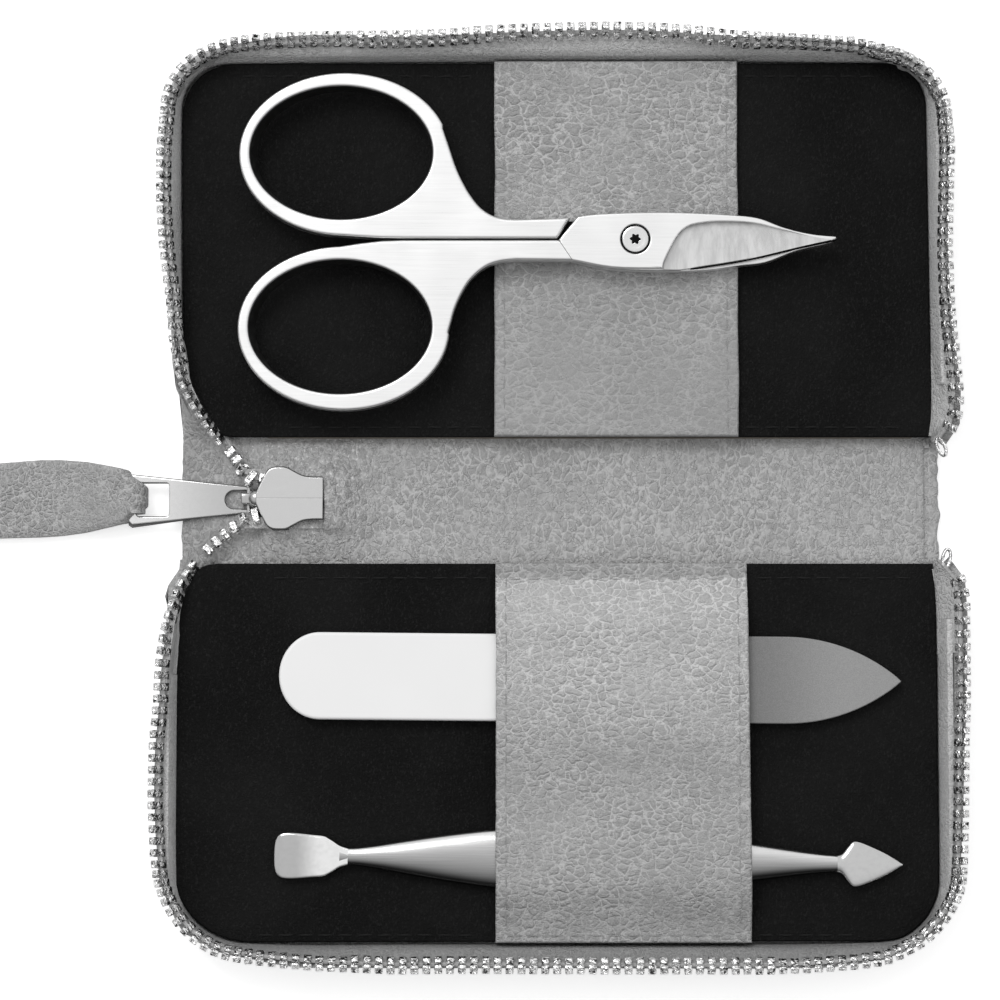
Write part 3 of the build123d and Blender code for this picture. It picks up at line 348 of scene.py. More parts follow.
looks = {
    "leather": leather("leather_pebbled", 0.36),
    # The lining is darker towards its left end; walls and lift paint shade and light by the way it faces, and
    # sparkle paints glints.
    "lining": leather("leather_lining", 0.365, 1.35, (1.1, 0.8, 1), 0.6, 0.8, folds=1.0,
                      darken_along=(("X", -56, -46, 0.78, 1.0),), walls=(0.85, 1.0), lift=0.45, sparkle=(-22, -31)),
    # The facing is painted lighter than the case's leather to make up for the light that the leaning walls
    # miss, and walls and lift paint shade and light by the way it faces.
    "facing": leather("leather_facing", 0.58, 0.7, (1, 1, 1), 0.4, 0.8, walls=(0.42, 0.95), lift=0.2),
    "liner": liner_look(),
    "board": board_look(),
    "tape": tape_look(),
    "zip_metal": nickel_spark("zip_nickel"),
    "slider_metal": polished("slider_nickel", 0.66, 0.2, line=True),
    "steel": steel("scissor_satin", 0.91, 0.32),
    # The loops' inner slope: their metal painted dark as shade.
    "steel_side": polished("loop_inside_shade", 0.17, 0.35),
    "file_steel": file_look(),
    "file_handle": white_look(),
    "tool_steel": steel("tool_satin", 0.86, 0.24, (0.04, 3.5, 1), 0.25, 0.16, rounded=(-0.5, 0.5, 0.04)),
}
blade_look = steel("blade_brushed", 0.77, 0.30, (0.35, 0.05, 1.0), 0.3, 0.24, turn=0.35)
# The pull is painted lighter towards its left end, as light falls on it.
pull_look = polished("pull_nickel", 0.58, 0.16, shade=(-62, -47, 0.86))
strap_look = leather("strap_pebbled", 0.35, 0.85, (1, 1, 1), 0.7, 1.0)
band_looks = {
    "upper": leather("band_upper_leather", 0.335, 1.5, (0.8, 1.1, 1), 0.8, 1.0, hair=0.10,
                     fade=("Y", 18, 40, 0.45, 1.0)),
    # The lower band's darkening along Y is painted shade: from its middle fold to its far edge, and in a
    # strip along its near edge.
    "lower": leather("band_lower_leather", 0.44, 1.25, (0.8, 1.15, 1), 0.72, 0.9, hair=0.10,
                     darken_along=(("Y", -40, -24, 0.80, 1.0), ("Y", -60, -53, 0.93, 1.0),
                           ("Y", -11.2, -10.9, 1.0, 0.72))),
}
# Walls paints shade on what faces up the case and what faces left.
tape_leather = leather("tape_leather", 0.42, 0.8, (1, 1, 1), 0.2, 0.5, walls=(0.75, 0.8))
jaw_shade = polished("jaw_shade", 0.04, 0.5)
# Painted shadow, for sheets and faces where only shade falls.
gap_shadow = gap_shadow_look()
joint_grey = polished("joint_line", 0.2, 0.4)
grey_thread = thread_look("thread_grey", 0.46)
black_thread = thread_look("thread_black", 0.012)

slots = {s["node"]: s["material_slot"] for s in frame["record"]["subparts"]}
for name, obj in nodes.items():
    obj.data.materials.clear()
    obj.data.materials.append(looks[slots[name]])


# ---------------------------------------------------------------- mesh helpers, in millimetres
def ease(value, low, high):
    """A smooth step from 0 at low to 1 at high."""
    t = max(0.0, min(1.0, (value - low) / (high - low)))
    return t * t * (3 - 2 * t)


def smooth_mesh(mesh, angle=35):
    bm = bmesh.new()
    bm.from_mesh(mesh)
    limit = math.radians(angle)
    for edge in bm.edges:
        edge.smooth = len(edge.link_faces) == 2 and edge.calc_face_angle(0) < limit
    for face in bm.faces:
        face.smooth = True
    bm.to_mesh(mesh)
    bm.free()


def new_object(name, mesh, look, angle=35):
    obj = bpy.data.objects.new(name, mesh)
    scene.collection.objects.link(obj)
    mesh.materials.clear()
    mesh.materials.append(look)
    smooth_mesh(mesh, angle)
    return obj


def add_mesh(name, mesh, look, body, replaced=(), angle=35):
    obj = new_object(name, mesh, look, angle)
    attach(obj, body)
    if replaced:
        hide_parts(*replaced)
    return obj


def mesh_of(bm, name):
    """The mesh of a finished bmesh, with its faces turned outward."""
    bmesh.ops.recalc_face_normals(bm, faces=bm.faces)
    mesh = bpy.data.meshes.new(name)
    bm.to_mesh(mesh)
    bm.free()
    return mesh


def slab(name, loops, low, high, bevel, look, body, replaced=(), steps=2):
    """A flat piece from closed outlines, the later ones holes, with rounded edges."""
    curve = bpy.data.curves.new(name + "_outline", "CURVE")
    curve.dimensions = "2D"
    curve.fill_mode = "BOTH"
    curve.extrude = ((high - low) / 2 - bevel) * MM
    curve.bevel_depth = bevel * MM
    curve.bevel_resolution = steps
    curve.offset = -bevel * MM
    for loop in loops:
        spline = curve.splines.new("POLY")
        spline.points.add(len(loop) - 1)
        for point, (x, y) in zip(spline.points, loop):
            point.co = (x * MM, y * MM, 0, 1)
        spline.use_cyclic_u = True
    holder = bpy.data.objects.new(name + "_curve", curve)
    scene.collection.objects.link(holder)
    bpy.context.view_layer.update()
    mesh = bpy.data.meshes.new_from_object(holder.evaluated_get(bpy.context.evaluated_depsgraph_get()))
    mesh.transform(Matrix.Translation((0, 0, (low + high) / 2 * MM)))
    bpy.data.objects.remove(holder)
    bm = bmesh.new()
    bm.from_mesh(mesh)
    bmesh.ops.remove_doubles(bm, verts=bm.verts, dist=1e-7)
    bm.to_mesh(mesh)
    bm.free()
    obj = add_mesh(name, mesh, look, body, replaced, 40)
    for face in mesh.polygons:
        if abs(face.normal.z) > 0.9999:
            face.use_smooth = False
    return obj


def between(t, t0, p0, t1, p1):
    return (t1 - t) / (t1 - t0) * p0 + (t - t0) / (t1 - t0) * p1


def flowing(points, count):
    """A smooth line through the points (centripetal Catmull-Rom)."""
    pts = [np.array(p, float) for p in points]
    pts = [2 * pts[0] - pts[1], *pts, 2 * pts[-1] - pts[-2]]
    out = []
    for i in range(1, len(pts) - 2):
        near = pts[i - 1 : i + 3]
        k = [0]
        for p, q in zip(near, near[1:]):
            k.append(k[-1] + max(np.linalg.norm(q - p), 1e-9) ** 0.5)
        for t in np.linspace(k[1], k[2], count, endpoint=False):
            a = [between(t, k[j], near[j], k[j + 1], near[j + 1]) for j in range(3)]
            b = [between(t, k[j], a[j], k[j + 2], a[j + 1]) for j in range(2)]
            out.append(tuple(between(t, k[1], b[0], k[2], b[1])))
    return out + [tuple(pts[-2])]


def ellipse(cx, cy, rx, ry, start=0, end=360, count=72):
    angles = [math.radians(start + (end - start) * i / count) for i in range(count + (end - start < 360))]
    return [(cx + rx * math.cos(a), cy + ry * math.sin(a)) for a in angles]


def turns(count):
    """Angles that divide a full turn evenly."""
    return np.linspace(0, 2 * math.pi, count, endpoint=False)


def points_of(bm, rows):
    return [[bm.verts.new(Vector(p) * MM) for p in row] for row in rows]


def span_rows(bm, rows, closed=True, caps=True):
    """Faces between rows of corners, each row a ring (closed) or a strip."""
    width = len(rows[0])
    for a, b in zip(rows, rows[1:]):
        for j in range(width if closed else width - 1):
            k = (j + 1) % width
            bm.faces.new((a[j], a[k], b[k], b[j]))
    if caps and closed:
        bm.faces.new(list(reversed(rows[0])))
        bm.faces.new(rows[-1])


def skin(name, rows, look, body, replaced=(), closed=True, caps=True, angle=40):
    """A mesh over rows of points."""
    bm = bmesh.new()
    span_rows(bm, points_of(bm, rows), closed, caps)
    bmesh.ops.remove_doubles(bm, verts=bm.verts, dist=2e-6)
    return add_mesh(name, mesh_of(bm, name), look, body, replaced, angle)


def thin_strip(name, rows, thick, body, angle):
    """A thin leather strip over rows of points."""
    obj = skin(name, rows, looks["facing"], body, (), closed=False, caps=False, angle=angle)
    solid = obj.modifiers.new("thickness", "SOLIDIFY")
    solid.thickness = thick * MM
    solid.offset = 0


def drop_skirt(bm, height):
    """Close an open sheet below: a copy of it goes down to height(z), joined along its edge."""
    copy = bmesh.ops.extrude_face_region(bm, geom=list(bm.faces))
    for item in copy["geom"]:
        if isinstance(item, bmesh.types.BMVert):
            item.co.z = height(item.co.z)


def two_sided(name, top, low, look, body, replaced, angle):
    """A sheet between two grids of points, closed along its four sides."""
    bm = bmesh.new()
    top = points_of(bm, top)
    low = points_of(bm, low)
    nx, ny = len(top), len(top[0])
    for i in range(nx - 1):
        for j in range(ny - 1):
            bm.faces.new((top[i][j], top[i + 1][j], top[i + 1][j + 1], top[i][j + 1]))
            bm.faces.new((low[i][j], low[i][j + 1], low[i + 1][j + 1], low[i + 1][j]))
    for i in range(nx - 1):
        bm.faces.new((top[i][0], low[i][0], low[i + 1][0], top[i + 1][0]))
        bm.faces.new((top[i][-1], top[i + 1][-1], low[i + 1][-1], low[i][-1]))
    for j in range(ny - 1):
        bm.faces.new((top[0][j], top[0][j + 1], low[0][j + 1], low[0][j]))
        bm.faces.new((top[-1][j], low[-1][j], low[-1][j + 1], top[-1][j + 1]))
    bmesh.ops.remove_doubles(bm, verts=bm.verts, dist=1e-6)
    return add_mesh(name, mesh_of(bm, name), look, body, replaced, angle)


RIM = 0.3  # how far in from a cut edge the leather is rounded


def sheet_of(name, height, xs, ys, thick, look, body, replaced):
    """A leather piece over a grid: height(x, y) is its top, with rounded cut edges."""

    def drop(x, y):
        near = min(x - xs[0], xs[-1] - x, y - ys[0], ys[-1] - y)
        return RIM * (1 - near / RIM) ** 2 if near < RIM else 0

    top = [[(x, y, height(x, y) - drop(x, y)) for y in ys] for x in xs]
    low = [[(x, y, height(x, y) - thick) for y in ys] for x in xs]
    return two_sided(name, top, low, look, body, replaced, 60)


def sharp_edges(bm, angle):
    return [e for e in bm.edges if len(e.link_faces) == 2 and e.calc_face_angle(0) > math.radians(angle)]


def soft_copy(node, width, look, body, angle=30):
    """A CAD piece with its sharp edges rounded, as folded or cut leather is."""
    mesh = nodes[node].data.copy()
    mesh.name = node + "_soft"
    bm = bmesh.new()
    bm.from_mesh(mesh)
    bmesh.ops.remove_doubles(bm, verts=bm.verts, dist=2e-6)
    bmesh.ops.dissolve_limit(bm, angle_limit=math.radians(1.5), verts=bm.verts, edges=bm.edges)
    bmesh.ops.bevel(bm, geom=sharp_edges(bm, angle), offset=width * MM, segments=2, profile=0.5,
                    affect="EDGES", clamp_overlap=True)
    bmesh.ops.triangulate(bm, faces=[f for f in bm.faces if len(f.verts) > 4])
    bm.to_mesh(mesh)
    bm.free()
    return add_mesh(node + "_soft", mesh, look, body, (node,), 45)


def spread(low, high, step):
    """Even places from low to high, about a step apart."""
    return list(np.linspace(low, high, max(2, int(round((high - low) / step)) + 1)))


def edged(low, high, step):
    """Grid places with a few extra close to both ends, for a rounded edge."""
    close = [0, RIM * 0.35, RIM * 0.7]
    middle = spread(low + RIM, high - RIM, step)
    return [low + c for c in close] + middle + [high - c for c in reversed(close)]


def along(line, x):
    """How high a line of points is at X."""
    return float(np.interp(x, [p[0] for p in line], [p[1] for p in line]))


def wave(x, y, size, seed=0.0):
    return noise.noise(Vector((x / size, y / size, seed)))


STITCH_PITCH, STITCH_LENGTH = 2.9, 2.1
STITCH_STEPS = 6


def stitches(name, line, radius, look, body, seed):
    """Short raised threads along a line of (x, y, z) points, each sinking at its ends."""
    pts = [Vector(p) for p in line]
    spans = [(b - a).length for a, b in zip(pts, pts[1:])]
    total = sum(spans)
    rng = random.Random(seed)
    bm = bmesh.new()

    def at(s):
        s = max(0, min(total, s))
        for a, b, d in zip(pts, pts[1:], spans):
            if s <= d or b is pts[-1]:
                return a.lerp(b, s / d if d else 0), (b - a).normalized()
            s -= d

    place = STITCH_PITCH / 2
    while place < total - STITCH_LENGTH / 2:
        rings = []
        for t in (i / (STITCH_STEPS - 1) for i in range(STITCH_STEPS)):
            point, along = at(place + (t - 0.5) * STITCH_LENGTH)
            across = along.cross(Vector((0, 0, 1))).normalized()
            up = across.cross(along)
            arch = math.sin(math.pi * t)
            point = point + up * (arch - 0.5) * radius * 1.5 + across * rng.uniform(-0.03, 0.03)
            r = radius * (0.55 + 0.45 * arch)
            rings.append([point + (across * math.cos(a) + up * math.sin(a)) * r for a in turns(6)])
        span_rows(bm, points_of(bm, rings))
        place += STITCH_PITCH * rng.uniform(0.96, 1.04)
    add_mesh(name, mesh_of(bm, name), look, body, (), 70)


# ---------------------------------------------------------------- how the walls settle
# How far each side of a half sits in from its plain outline: (place along it, at the rim, at the foot).
# The sides are -1 left, 1 right and 0 far; the places run out from the spine, or along X on the far side.
DRAPE = {
    ("upper", -1): [(10, 0.5, 0.2), (16.5, 1.0, 0.4), (20.9, 1.9, 0.3), (25.2, 2.1, -0.1),
                    (29.6, 1.7, -0.25), (36.9, 0.7, -0.35), (44.2, 0.2, -0.4), (51.5, 0.2, -0.5),
                    (57.3, 0.7, -0.4)],
    ("upper", 1): [(10, 0.5, 0.6), (16.5, 0.6, 0.75), (20.9, 1.0, 0.85), (25.2, 1.5, 0.95), (29.6, 1.8, 1.0),
                   (36.9, 2.0, 1.0), (44.2, 1.8, 1.1), (51.5, 1.5, 1.15), (57.3, 1.9, 1.2)],
    ("lower", -1): [(10, 0.5, -0.3), (15.6, 0.7, -0.4), (21.4, 0.6, -0.3), (28.7, 0.3, -0.4),
                    (36, -0.3, -0.4), (43.3, -0.4, -0.4), (50.6, 0, -0.4), (58, 0.8, -0.2)],
    ("lower", 1): [(10, 0, 0.3), (21.4, 0, 0.3), (28.7, 0, 0.25), (36, 0.3, 0.25), (43.3, 0.4, 0.2),
                   (50.6, 0.6, 0.2), (58, 1.0, 0.3)],
    ("upper", 0): [(-51.1, 1.1, -0.4), (-46.7, 0.4, -0.4), (-40.8, -0.1, -0.5), (-35, -0.3, -0.6),
                   (-23.3, -0.4, -0.7), (-17.5, -0.6, -0.7), (-10, -1.2, -0.75), (-4, -1.45, -0.75),
                   (7, -1.7, -0.75), (13, -1.6, -0.75), (19, -1.2, -0.8), (25, -0.45, -0.8),
                   (29.2, -0.2, -0.8), (35, 0.1, -0.7), (42.3, 0.5, -0.6), (46.7, 1.4, -0.5),
                   (49.6, 2.0, -0.5)],
    ("lower", 0): [(-51.1, 2.0, 0.7), (-46.7, 1.9, 0.7), (-40.8, 1.2, 0.35), (-35, 0.7, 0.3),
                   (-23.3, 0.2, 0.4), (-17.5, 0.3, 0.4), (29.2, 0.2, 0.4), (35, 0.4, 0.4), (42.3, 0.9, 0.6),
                   (46.7, 1.5, 0.8), (49.6, 2.0, 0.5)],
}


def draped(x, y, z=None, rim=None):
    """Where a point of the walls' plain outline lies once the leather has settled."""
    half = "upper" if y > 0 else "lower"
    share = rim if rim is not None else ease(z, 4.2, 7.5)

    def inward(key, place):
        at, rims, feet = zip(*DRAPE[half, key])
        return float(np.interp(place, at, rims)) * share + float(np.interp(place, at, feet)) * (1 - share)

    end = -1 if x < 0 else 1
    dx = -end * inward(end, abs(y)) * ease(abs(x), 43, 54)
    dy = -inward(0, x) * math.copysign(1, y) * ease(abs(y), 51, 62)
    if x > 50 and abs(y) < 22:
        dy -= math.copysign(0.13 * (22 - abs(y)), y) * share
        dx -= 1.1 * ease(13.5 - abs(y), 0, 5) * share
    return x + dx, y + dy


def outside(x, y):
    """Whether a point is beyond the walls' inner face."""
    return math.hypot(max(abs(x) - 45.0, 0), max(abs(y) - 54.3, 0)) > 12.05 or abs(x) > 57.05


def drape(obj, rim=None):
    """Cut the long flat sides into short ones, then let them settle."""
    bm = bmesh.new()
    bm.from_mesh(obj.data)
    cuts = [(Vector((1, 0, 0)), at) for at in spread(-44, 44, 5.5)]
    cuts += [(Vector((0, 1, 0)), at * side) for at in spread(24, 54, 6) for side in (1, -1)]
    for across, at in cuts:
        everything = bm.verts[:] + bm.edges[:] + bm.faces[:]
        bmesh.ops.bisect_plane(bm, geom=everything, plane_co=across * at * MM, plane_no=across, dist=1e-6)
    bm.to_mesh(obj.data)
    bm.free()
    for vert in obj.data.vertices:
        x, y, z = vert.co / MM
        share = rim
        if rim == "outside":
            share = (1.0 if z > 2.0 else 0.5) if outside(x, y) else None
        x, y = draped(x, y, z, share)
        vert.co.x, vert.co.y = x * MM, y * MM
    return obj


# ---------------------------------------------------------------- zip teeth
JAW_LENGTH, NOSE, HEAD = 0.75, 0.9, 1.3  # of a CAD clip: along the row, across its tip, and out to it


def tooth_mesh(wide):
    """One tooth: X along the row, Z out of the tape's edge. Two jaws, a head and its dimple."""
    half = [(-0.30, -1.0), (-0.66, -1.0), (-0.80, -0.72), (-0.80, -0.22), (-0.70, 0.10), (-0.58, 0.38),
            (-0.62, 0.72), (-0.60, 1.12), (-0.46, 1.30)]
    if wide:
        half = [(-0.30, -1.0), (-0.66, -1.0), (-0.80, -0.80), (-0.82, -0.35), (-0.84, 1.05), (-0.66, 1.30)]
    outline = half + [(-y, z) for y, z in reversed(half)] + [(0.30, 0.0), (-0.30, 0.0)]
    bm = bmesh.new()
    rings = []
    for x, shrink in ((-0.42, 0.86), (-0.34, 1.0), (0.34, 1.0), (0.42, 0.86)):
        ring = []
        for y, z in outline:
            waist = 1.0 - 0.16 * max(0, min(1, (0.55 - abs(z - 0.3)) / 0.3))
            if abs(y) <= 0.31 and z < 0.5:
                ring.append(bm.verts.new((x * waist, y, z)))
            else:
                ring.append(bm.verts.new((x * waist, y * shrink, 0.1 + (z - 0.1) * (0.5 + shrink / 2))))
        rings.append(ring)
    span_rows(bm, rings)
    bmesh.ops.recalc_face_normals(bm, faces=bm.faces)

    def dimple(face, border, depth):
        bmesh.ops.inset_individual(bm, faces=[face], thickness=border, depth=0)
        bmesh.ops.inset_individual(bm, faces=[face], thickness=0.05, depth=depth)
        # The dimple is painted with the gap's shadow.
        face.material_index = 1

    top = max((f for f in bm.faces if f.normal.z > 0.9), key=lambda f: f.calc_center_median().z)
    dimple(top, 0.16 if wide else 0.14, -0.28)
    if wide:
        for side in [f for f in bm.faces if abs(f.normal.y) > 0.9 and f.calc_area() > 0.7]:
            dimple(side, 0.17, -0.25)
    bmesh.ops.triangulate(bm, faces=[f for f in bm.faces if len(f.verts) > 4])
    return bm


def islands(node):
    """The separate solids of a CAD node, each as a list of its corner points in millimetres and its edges."""
    bm = bmesh.new()
    bm.from_mesh(nodes[node].data)
    bmesh.ops.remove_doubles(bm, verts=bm.verts, dist=2e-6)
    seen, out = set(), []
    for vert in bm.verts:
        if vert in seen:
            continue
        group, queue = [], [vert]
        seen.add(vert)
        while queue:
            v = queue.pop()
            group.append(v)
            for edge in v.link_edges:
                w = edge.other_vert(v)
                if w not in seen:
                    seen.add(w)
                    queue.append(w)
        edges = {e for v in group for e in v.link_edges}
        out.append(([v.co / MM for v in group], [(e.verts[0].co / MM, e.verts[1].co / MM) for e in edges]))
    bm.free()
    return out


def clip_frame(points, edges):
    """Where a CAD clip sits: the tape's edge, and its X, Y and Z directions."""
    lines = [(a, b, b - a) for a, b in edges]
    x = next(d for a, b, d in lines if abs(d.length - JAW_LENGTH) < 0.01).normalized()
    tips = [(a, b, d) for a, b, d in lines if abs(d.length - NOSE) < 0.01]
    tips = [(a, b, d) for a, b, d in tips if abs(d.normalized().dot(x)) < 0.1]
    y = tips[0][2].normalized()
    middle = sum((a + b for a, b, d in tips), Vector()) / (2 * len(tips))
    centre = sum(points, Vector()) / len(points)
    z = x.cross(y)
    if z.dot(middle - centre) < 0:
        y, z = -y, -z
    return middle - z * HEAD, x, y, z


def clips_of(name, node, body, stretch, lean, out):
    """A row of teeth, one on each CAD clip, leant outward by some degrees and moved out."""
    pattern = tooth_mesh(name == "teeth_spine")
    base = bpy.data.meshes.new("tooth_pattern")
    pattern.to_mesh(base)
    pattern.free()
    inner = [face.center.y for face in base.polygons]
    bm = bmesh.new()
    rng = random.Random(len(name))
    on_wall = body != "spine"
    for points, edges in islands(node):
        origin, x, y, z = clip_frame(points, edges)
        away = Vector((origin.x, origin.y - math.copysign(36, origin.y), 0)).normalized()
        side = 1 if y.dot(away) > 0 else -1
        tip = Matrix.Rotation(-side * math.radians(lean), 3, x)
        y, z = tip @ y, tip @ z
        origin = origin + y * side * out
        if on_wall:
            origin = Vector((*draped(origin.x, origin.y, 8.0), origin.z))
        turn = Matrix.Rotation(rng.uniform(-0.06, 0.06), 3, z)
        matrix = Matrix((turn @ x * stretch[0], turn @ y * stretch[1], z * stretch[2])).transposed().to_4x4()
        matrix = Matrix.Translation(origin * MM) @ Matrix.Scale(MM, 4) @ matrix
        verts_before, faces_before = len(bm.verts), len(bm.faces)
        bm.from_mesh(base)
        bm.faces.ensure_lookup_table()
        bm.verts.ensure_lookup_table()
        # The upper row's inner jaws lie in shadow, but for those in the middle of the far side.
        bright = -8 < origin.x < 13 and origin.y > 60
        if on_wall and away.y > -0.5 and origin.y > 0 and not bright:
            for face, middle in zip(bm.faces[faces_before:], inner):
                if middle * side < -0.12:
                    face.material_index = 2
        # Along the short sides the inner jaws are tucked in behind the facing.
        tuck = 1.0
        if on_wall and abs(away.x) > 0.7:
            tuck = 0.5 if origin.x > 0 or abs(origin.y) > 26 else 0.35
        for vert in bm.verts[verts_before:]:
            if vert.co.y * side < 0:
                vert.co.y *= tuck
            vert.co = matrix @ vert.co
    obj = add_mesh(name, mesh_of(bm, name), looks["zip_metal"], body, (node,), 50)
    # Material 1 is the painted shadow in the dimples, material 2 the painted shade of the inner jaws.
    obj.data.materials.append(gap_shadow)
    obj.data.materials.append(jaw_shade)
    return obj


for label, node, body, stretch, lean, out in (
    ("teeth_upper", "zip_teeth_upper", "upper_half", (1.4, 1.22, 1.0), 22, 0.12),
    ("teeth_lower", "zip_teeth_lower", "lower_half", (1.4, 1.22, 1.0), 22, 0.12),
    ("teeth_spine", "zip_teeth_spine", "spine", (1.3, 1.08, 1.0), 0, 0),
):
    clips_of(label, node, body, stretch=stretch, lean=lean, out=out)


# ---------------------------------------------------------------- case leather
def pared_shell(half, body):
    """The outer leather, pared thin towards its edge, so that the tape stands clear of it."""
    shell = soft_copy("outer_shell_" + half, 0.3, looks["leather"], body)
    for vert in shell.data.vertices:
        x, y, z = vert.co / MM
        rise = ease(z, 1.6, 6.6)
        reach = max(abs(x) / 57.5, abs(y - math.copysign(36, y)) / 30.5)
        if rise and abs(y) > 17 and reach > 0.97:
            vert.co.z -= 0.9 * rise * MM
            vert.co.x -= math.copysign(min(0.55, max(0, abs(x) - 56.2)), x) * rise * MM
            vert.co.y -= math.copysign(min(0.55, max(0, abs(y) - 65.2)), y) * rise * MM
    return shell


def low_facing(half, body):
    """The facing, whose far edge is lower, since the zip's inner jaws stand over it there."""
    facing = soft_copy("wall_facing_" + half, 0.12, looks["facing"], body, 40)
    for vert in facing.data.vertices:
        spare = max(0, vert.co.z / MM - 6.2) * ease(abs(vert.co.y) / MM, 52, 62)
        vert.co.z -= spare * 0.75 * MM
    return facing


def clear_board(half, body):
    """The board, drawn clear of the leather all round."""
    board = soft_copy("stiffener_board_" + half, 0.15, looks["board"], body, 40)
    for vert in board.data.vertices:
        x, y = vert.co.xy / MM
        vert.co.x = x * (1 - 2.2 / 57) * MM
        vert.co.y = (y - math.copysign(2.0 * ease(abs(y), 40, 64), y)) * MM
    return board


for half, body in (("upper", "upper_half"), ("lower", "lower_half")):
    drape(pared_shell(half, body), "outside")
    drape(soft_copy("zip_tape_" + half, 0.12, tape_leather, body, 40))
    drape(low_facing(half, body), 0.0)
    clear_board(half, body)
soft_copy("spine_leather", 0.3, looks["leather"], "spine")
for half in ("upper", "lower"):
    soft_copy("zip_tape_end_" + half, 0.12, looks["lining"], "spine", 40)


# ---------------------------------------------------------------- the lining of the spine
# It runs over both folds to the trays' linings. The rows of teeth that it rises to, as (x, y, height):
ROWS = {
    1: [(-55.1, 17.0, 7.2), (-51.8, 12.0, 5.2), (-48.9, 8.5, 3.7), (-46.9, 5.9, 3.4), (-46.0, 4.7, 3.9),
        (-44.2, 3.2, 4.3), (-42.2, 3.1, 4.3)],
    -1: [(-56.7, 17.0, 7.2), (-54.9, 12.0, 5.2), (-52.6, 8.5, 3.7), (-49.5, 5.3, 3.4), (-47.0, 3.5, 4.0),
         (-44.2, 2.3, 4.3), (-42.2, 2.1, 4.3)],
}


def near_row(x, y, side):
    """How far a place is from a row of teeth, and the height of the row there."""
    best = (99.0, 0.0)
    row = ROWS[side]
    for (x0, y0, z0), (x1, y1, z1) in zip(row, row[1:]):
        y0, y1 = y0 * side, y1 * side
        dx, dy = x1 - x0, y1 - y0
        t = max(0, min(1, ((x - x0) * dx + (y - y0) * dy) / (dx * dx + dy * dy)))
        gap = math.hypot(x - x0 - t * dx, y - y0 - t * dy)
        if gap < best[0]:
            best = (gap, z0 + t * (z1 - z0))
    return best


# The slider's place, and the half width of its outline along X, which the lining leaves open.
SLIDER_Y = 0.5
SLIDER_AT = [-45.5, -44.2, -43.85, -43.1, -42.45, -41.7, -40.8, -39.8, -38.7, -37.5, -36.4, -34.4]
SLIDER_HALF = [0.3, 0.75, 1.6, 2.9, 3.8, 4.15, 4.2, 4.15, 3.65, 3.1, 2.95, 2.9]


def lining_top(x, y):
    """Height of the spine's lining: level, raised under the zip's rows, and folded up by the slider."""
    level = 2.02 + 0.06 * wave(x, y, 2.6, 3) + 0.05 * wave(x, y * 0.6, 1.2, 4)
    level += 0.10 * wave(x * 0.5, y, 4.5, 8) * ease(-x, 0, 30)
    aside = abs(y - SLIDER_Y)
    rise = 0.0
    for side in (1, -1):
        gap, height = near_row(x, y, side)
        rise = max(rise, (height - 0.25 - level) * (1 - ease(gap, 0.15, 2.4)))
    z = level + rise
    # Under the slider it lies flat, and beside it it stands up as a soft bank.
    half = float(np.interp(x, SLIDER_AT, SLIDER_HALF))
    inside = ease(x, -45.2, -44.4) * ease(-31.8 - x, 0, 2.5) * (1 - ease(aside, half - 0.05, half + 0.2))
    z = z * (1 - inside) + min(z, 1.75) * inside
    beside = ease(aside, half, half + 0.25) * max(0.0, min(1.0, (9.0 - aside) / 5.2))
    beside = beside * ease(x, -45.5, -42.0) * (1 - ease(x, -33.0, -26.0))
    z = max(z, level + (4.7 - level + 0.16 * wave(x, y, 1.3, 17)) * beside)
    if x > -34.38:
        # Right of the slider it is gathered into a puckered ridge, which runs out along the spine.
        across = 1 - ease(aside, 3.6, 6.9)
        run = 1 - ease(x, -33.6, -24.5 + 1.2 * wave(0, y, 3, 2))
        pucker = 0.20 * wave(x * 0.9, y * 1.4, 0.9, 12) + 0.42 * wave(x * 1.9, y * 0.4, 1.3, 13)
        z = max(z, level + (3.35 * across) * run ** 1.5 + pucker * run * (0.35 + across))
    else:
        side_bank = ease(aside, 4.8, 5.4) * (1 - ease(aside, 6.8, 9.0)) * ease(x, -46, -41)
        z += side_bank * (0.05 + 0.22 * wave(x * 1.4, y * 1.4, 0.5, 15))
    right = ease(x, 53.05, 53.35)
    return z - 0.45 * right + 0.12 * wave(x, y, 1.5, 21) * right


LINING_XS = [-55.15, -55.0, *spread(-54.7, -34.6, 0.32), -34.42, -34.36, -34.1, *spread(-33.7, -22, 0.3)]
LINING_XS += [*spread(-21.3, 52.6, 0.7), 53.05, 53.2, 53.35, *spread(53.6, 54.9, 0.3), 55.15]


def lining_point(x, y):
    """A point of the lining's top, with both of its ends cut a little unevenly and turned down."""
    ragged = 0.35 * wave(y, 0, 3.1, 31) + 0.15 * wave(y, 0, 1.1, 32)
    px = x + (ragged * 1.2 + 0.2 if x > 54.5 else ragged * 0.8 if x < -54.8 else 0)
    return px, y, lining_top(x, y) - (0.35 if x in (LINING_XS[0], LINING_XS[-1]) else 0)


def lining_part(name, y0, y1, body, other=None):
    bm = bmesh.new()
    grid = [[lining_point(x, y) for y in spread(y0, y1, 0.33)] for x in LINING_XS]
    span_rows(bm, points_of(bm, grid), closed=False)
    drop_skirt(bm, lambda z: min(z - 0.55 * MM, 1.35 * MM))
    obj = new_object(name, mesh_of(bm, name), looks["lining"], 60)
    if other:
        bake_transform(obj)
    else:
        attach(obj, body)
        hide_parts("spine_lining")
    return obj


lining_part("lining_spine", -6.4, 6.4, "spine")
lining_part("lining_fold_upper", 6.4, 9.75, "spine", "upper_half")
lining_part("lining_fold_lower", -9.75, -6.4, "spine", "lower_half")


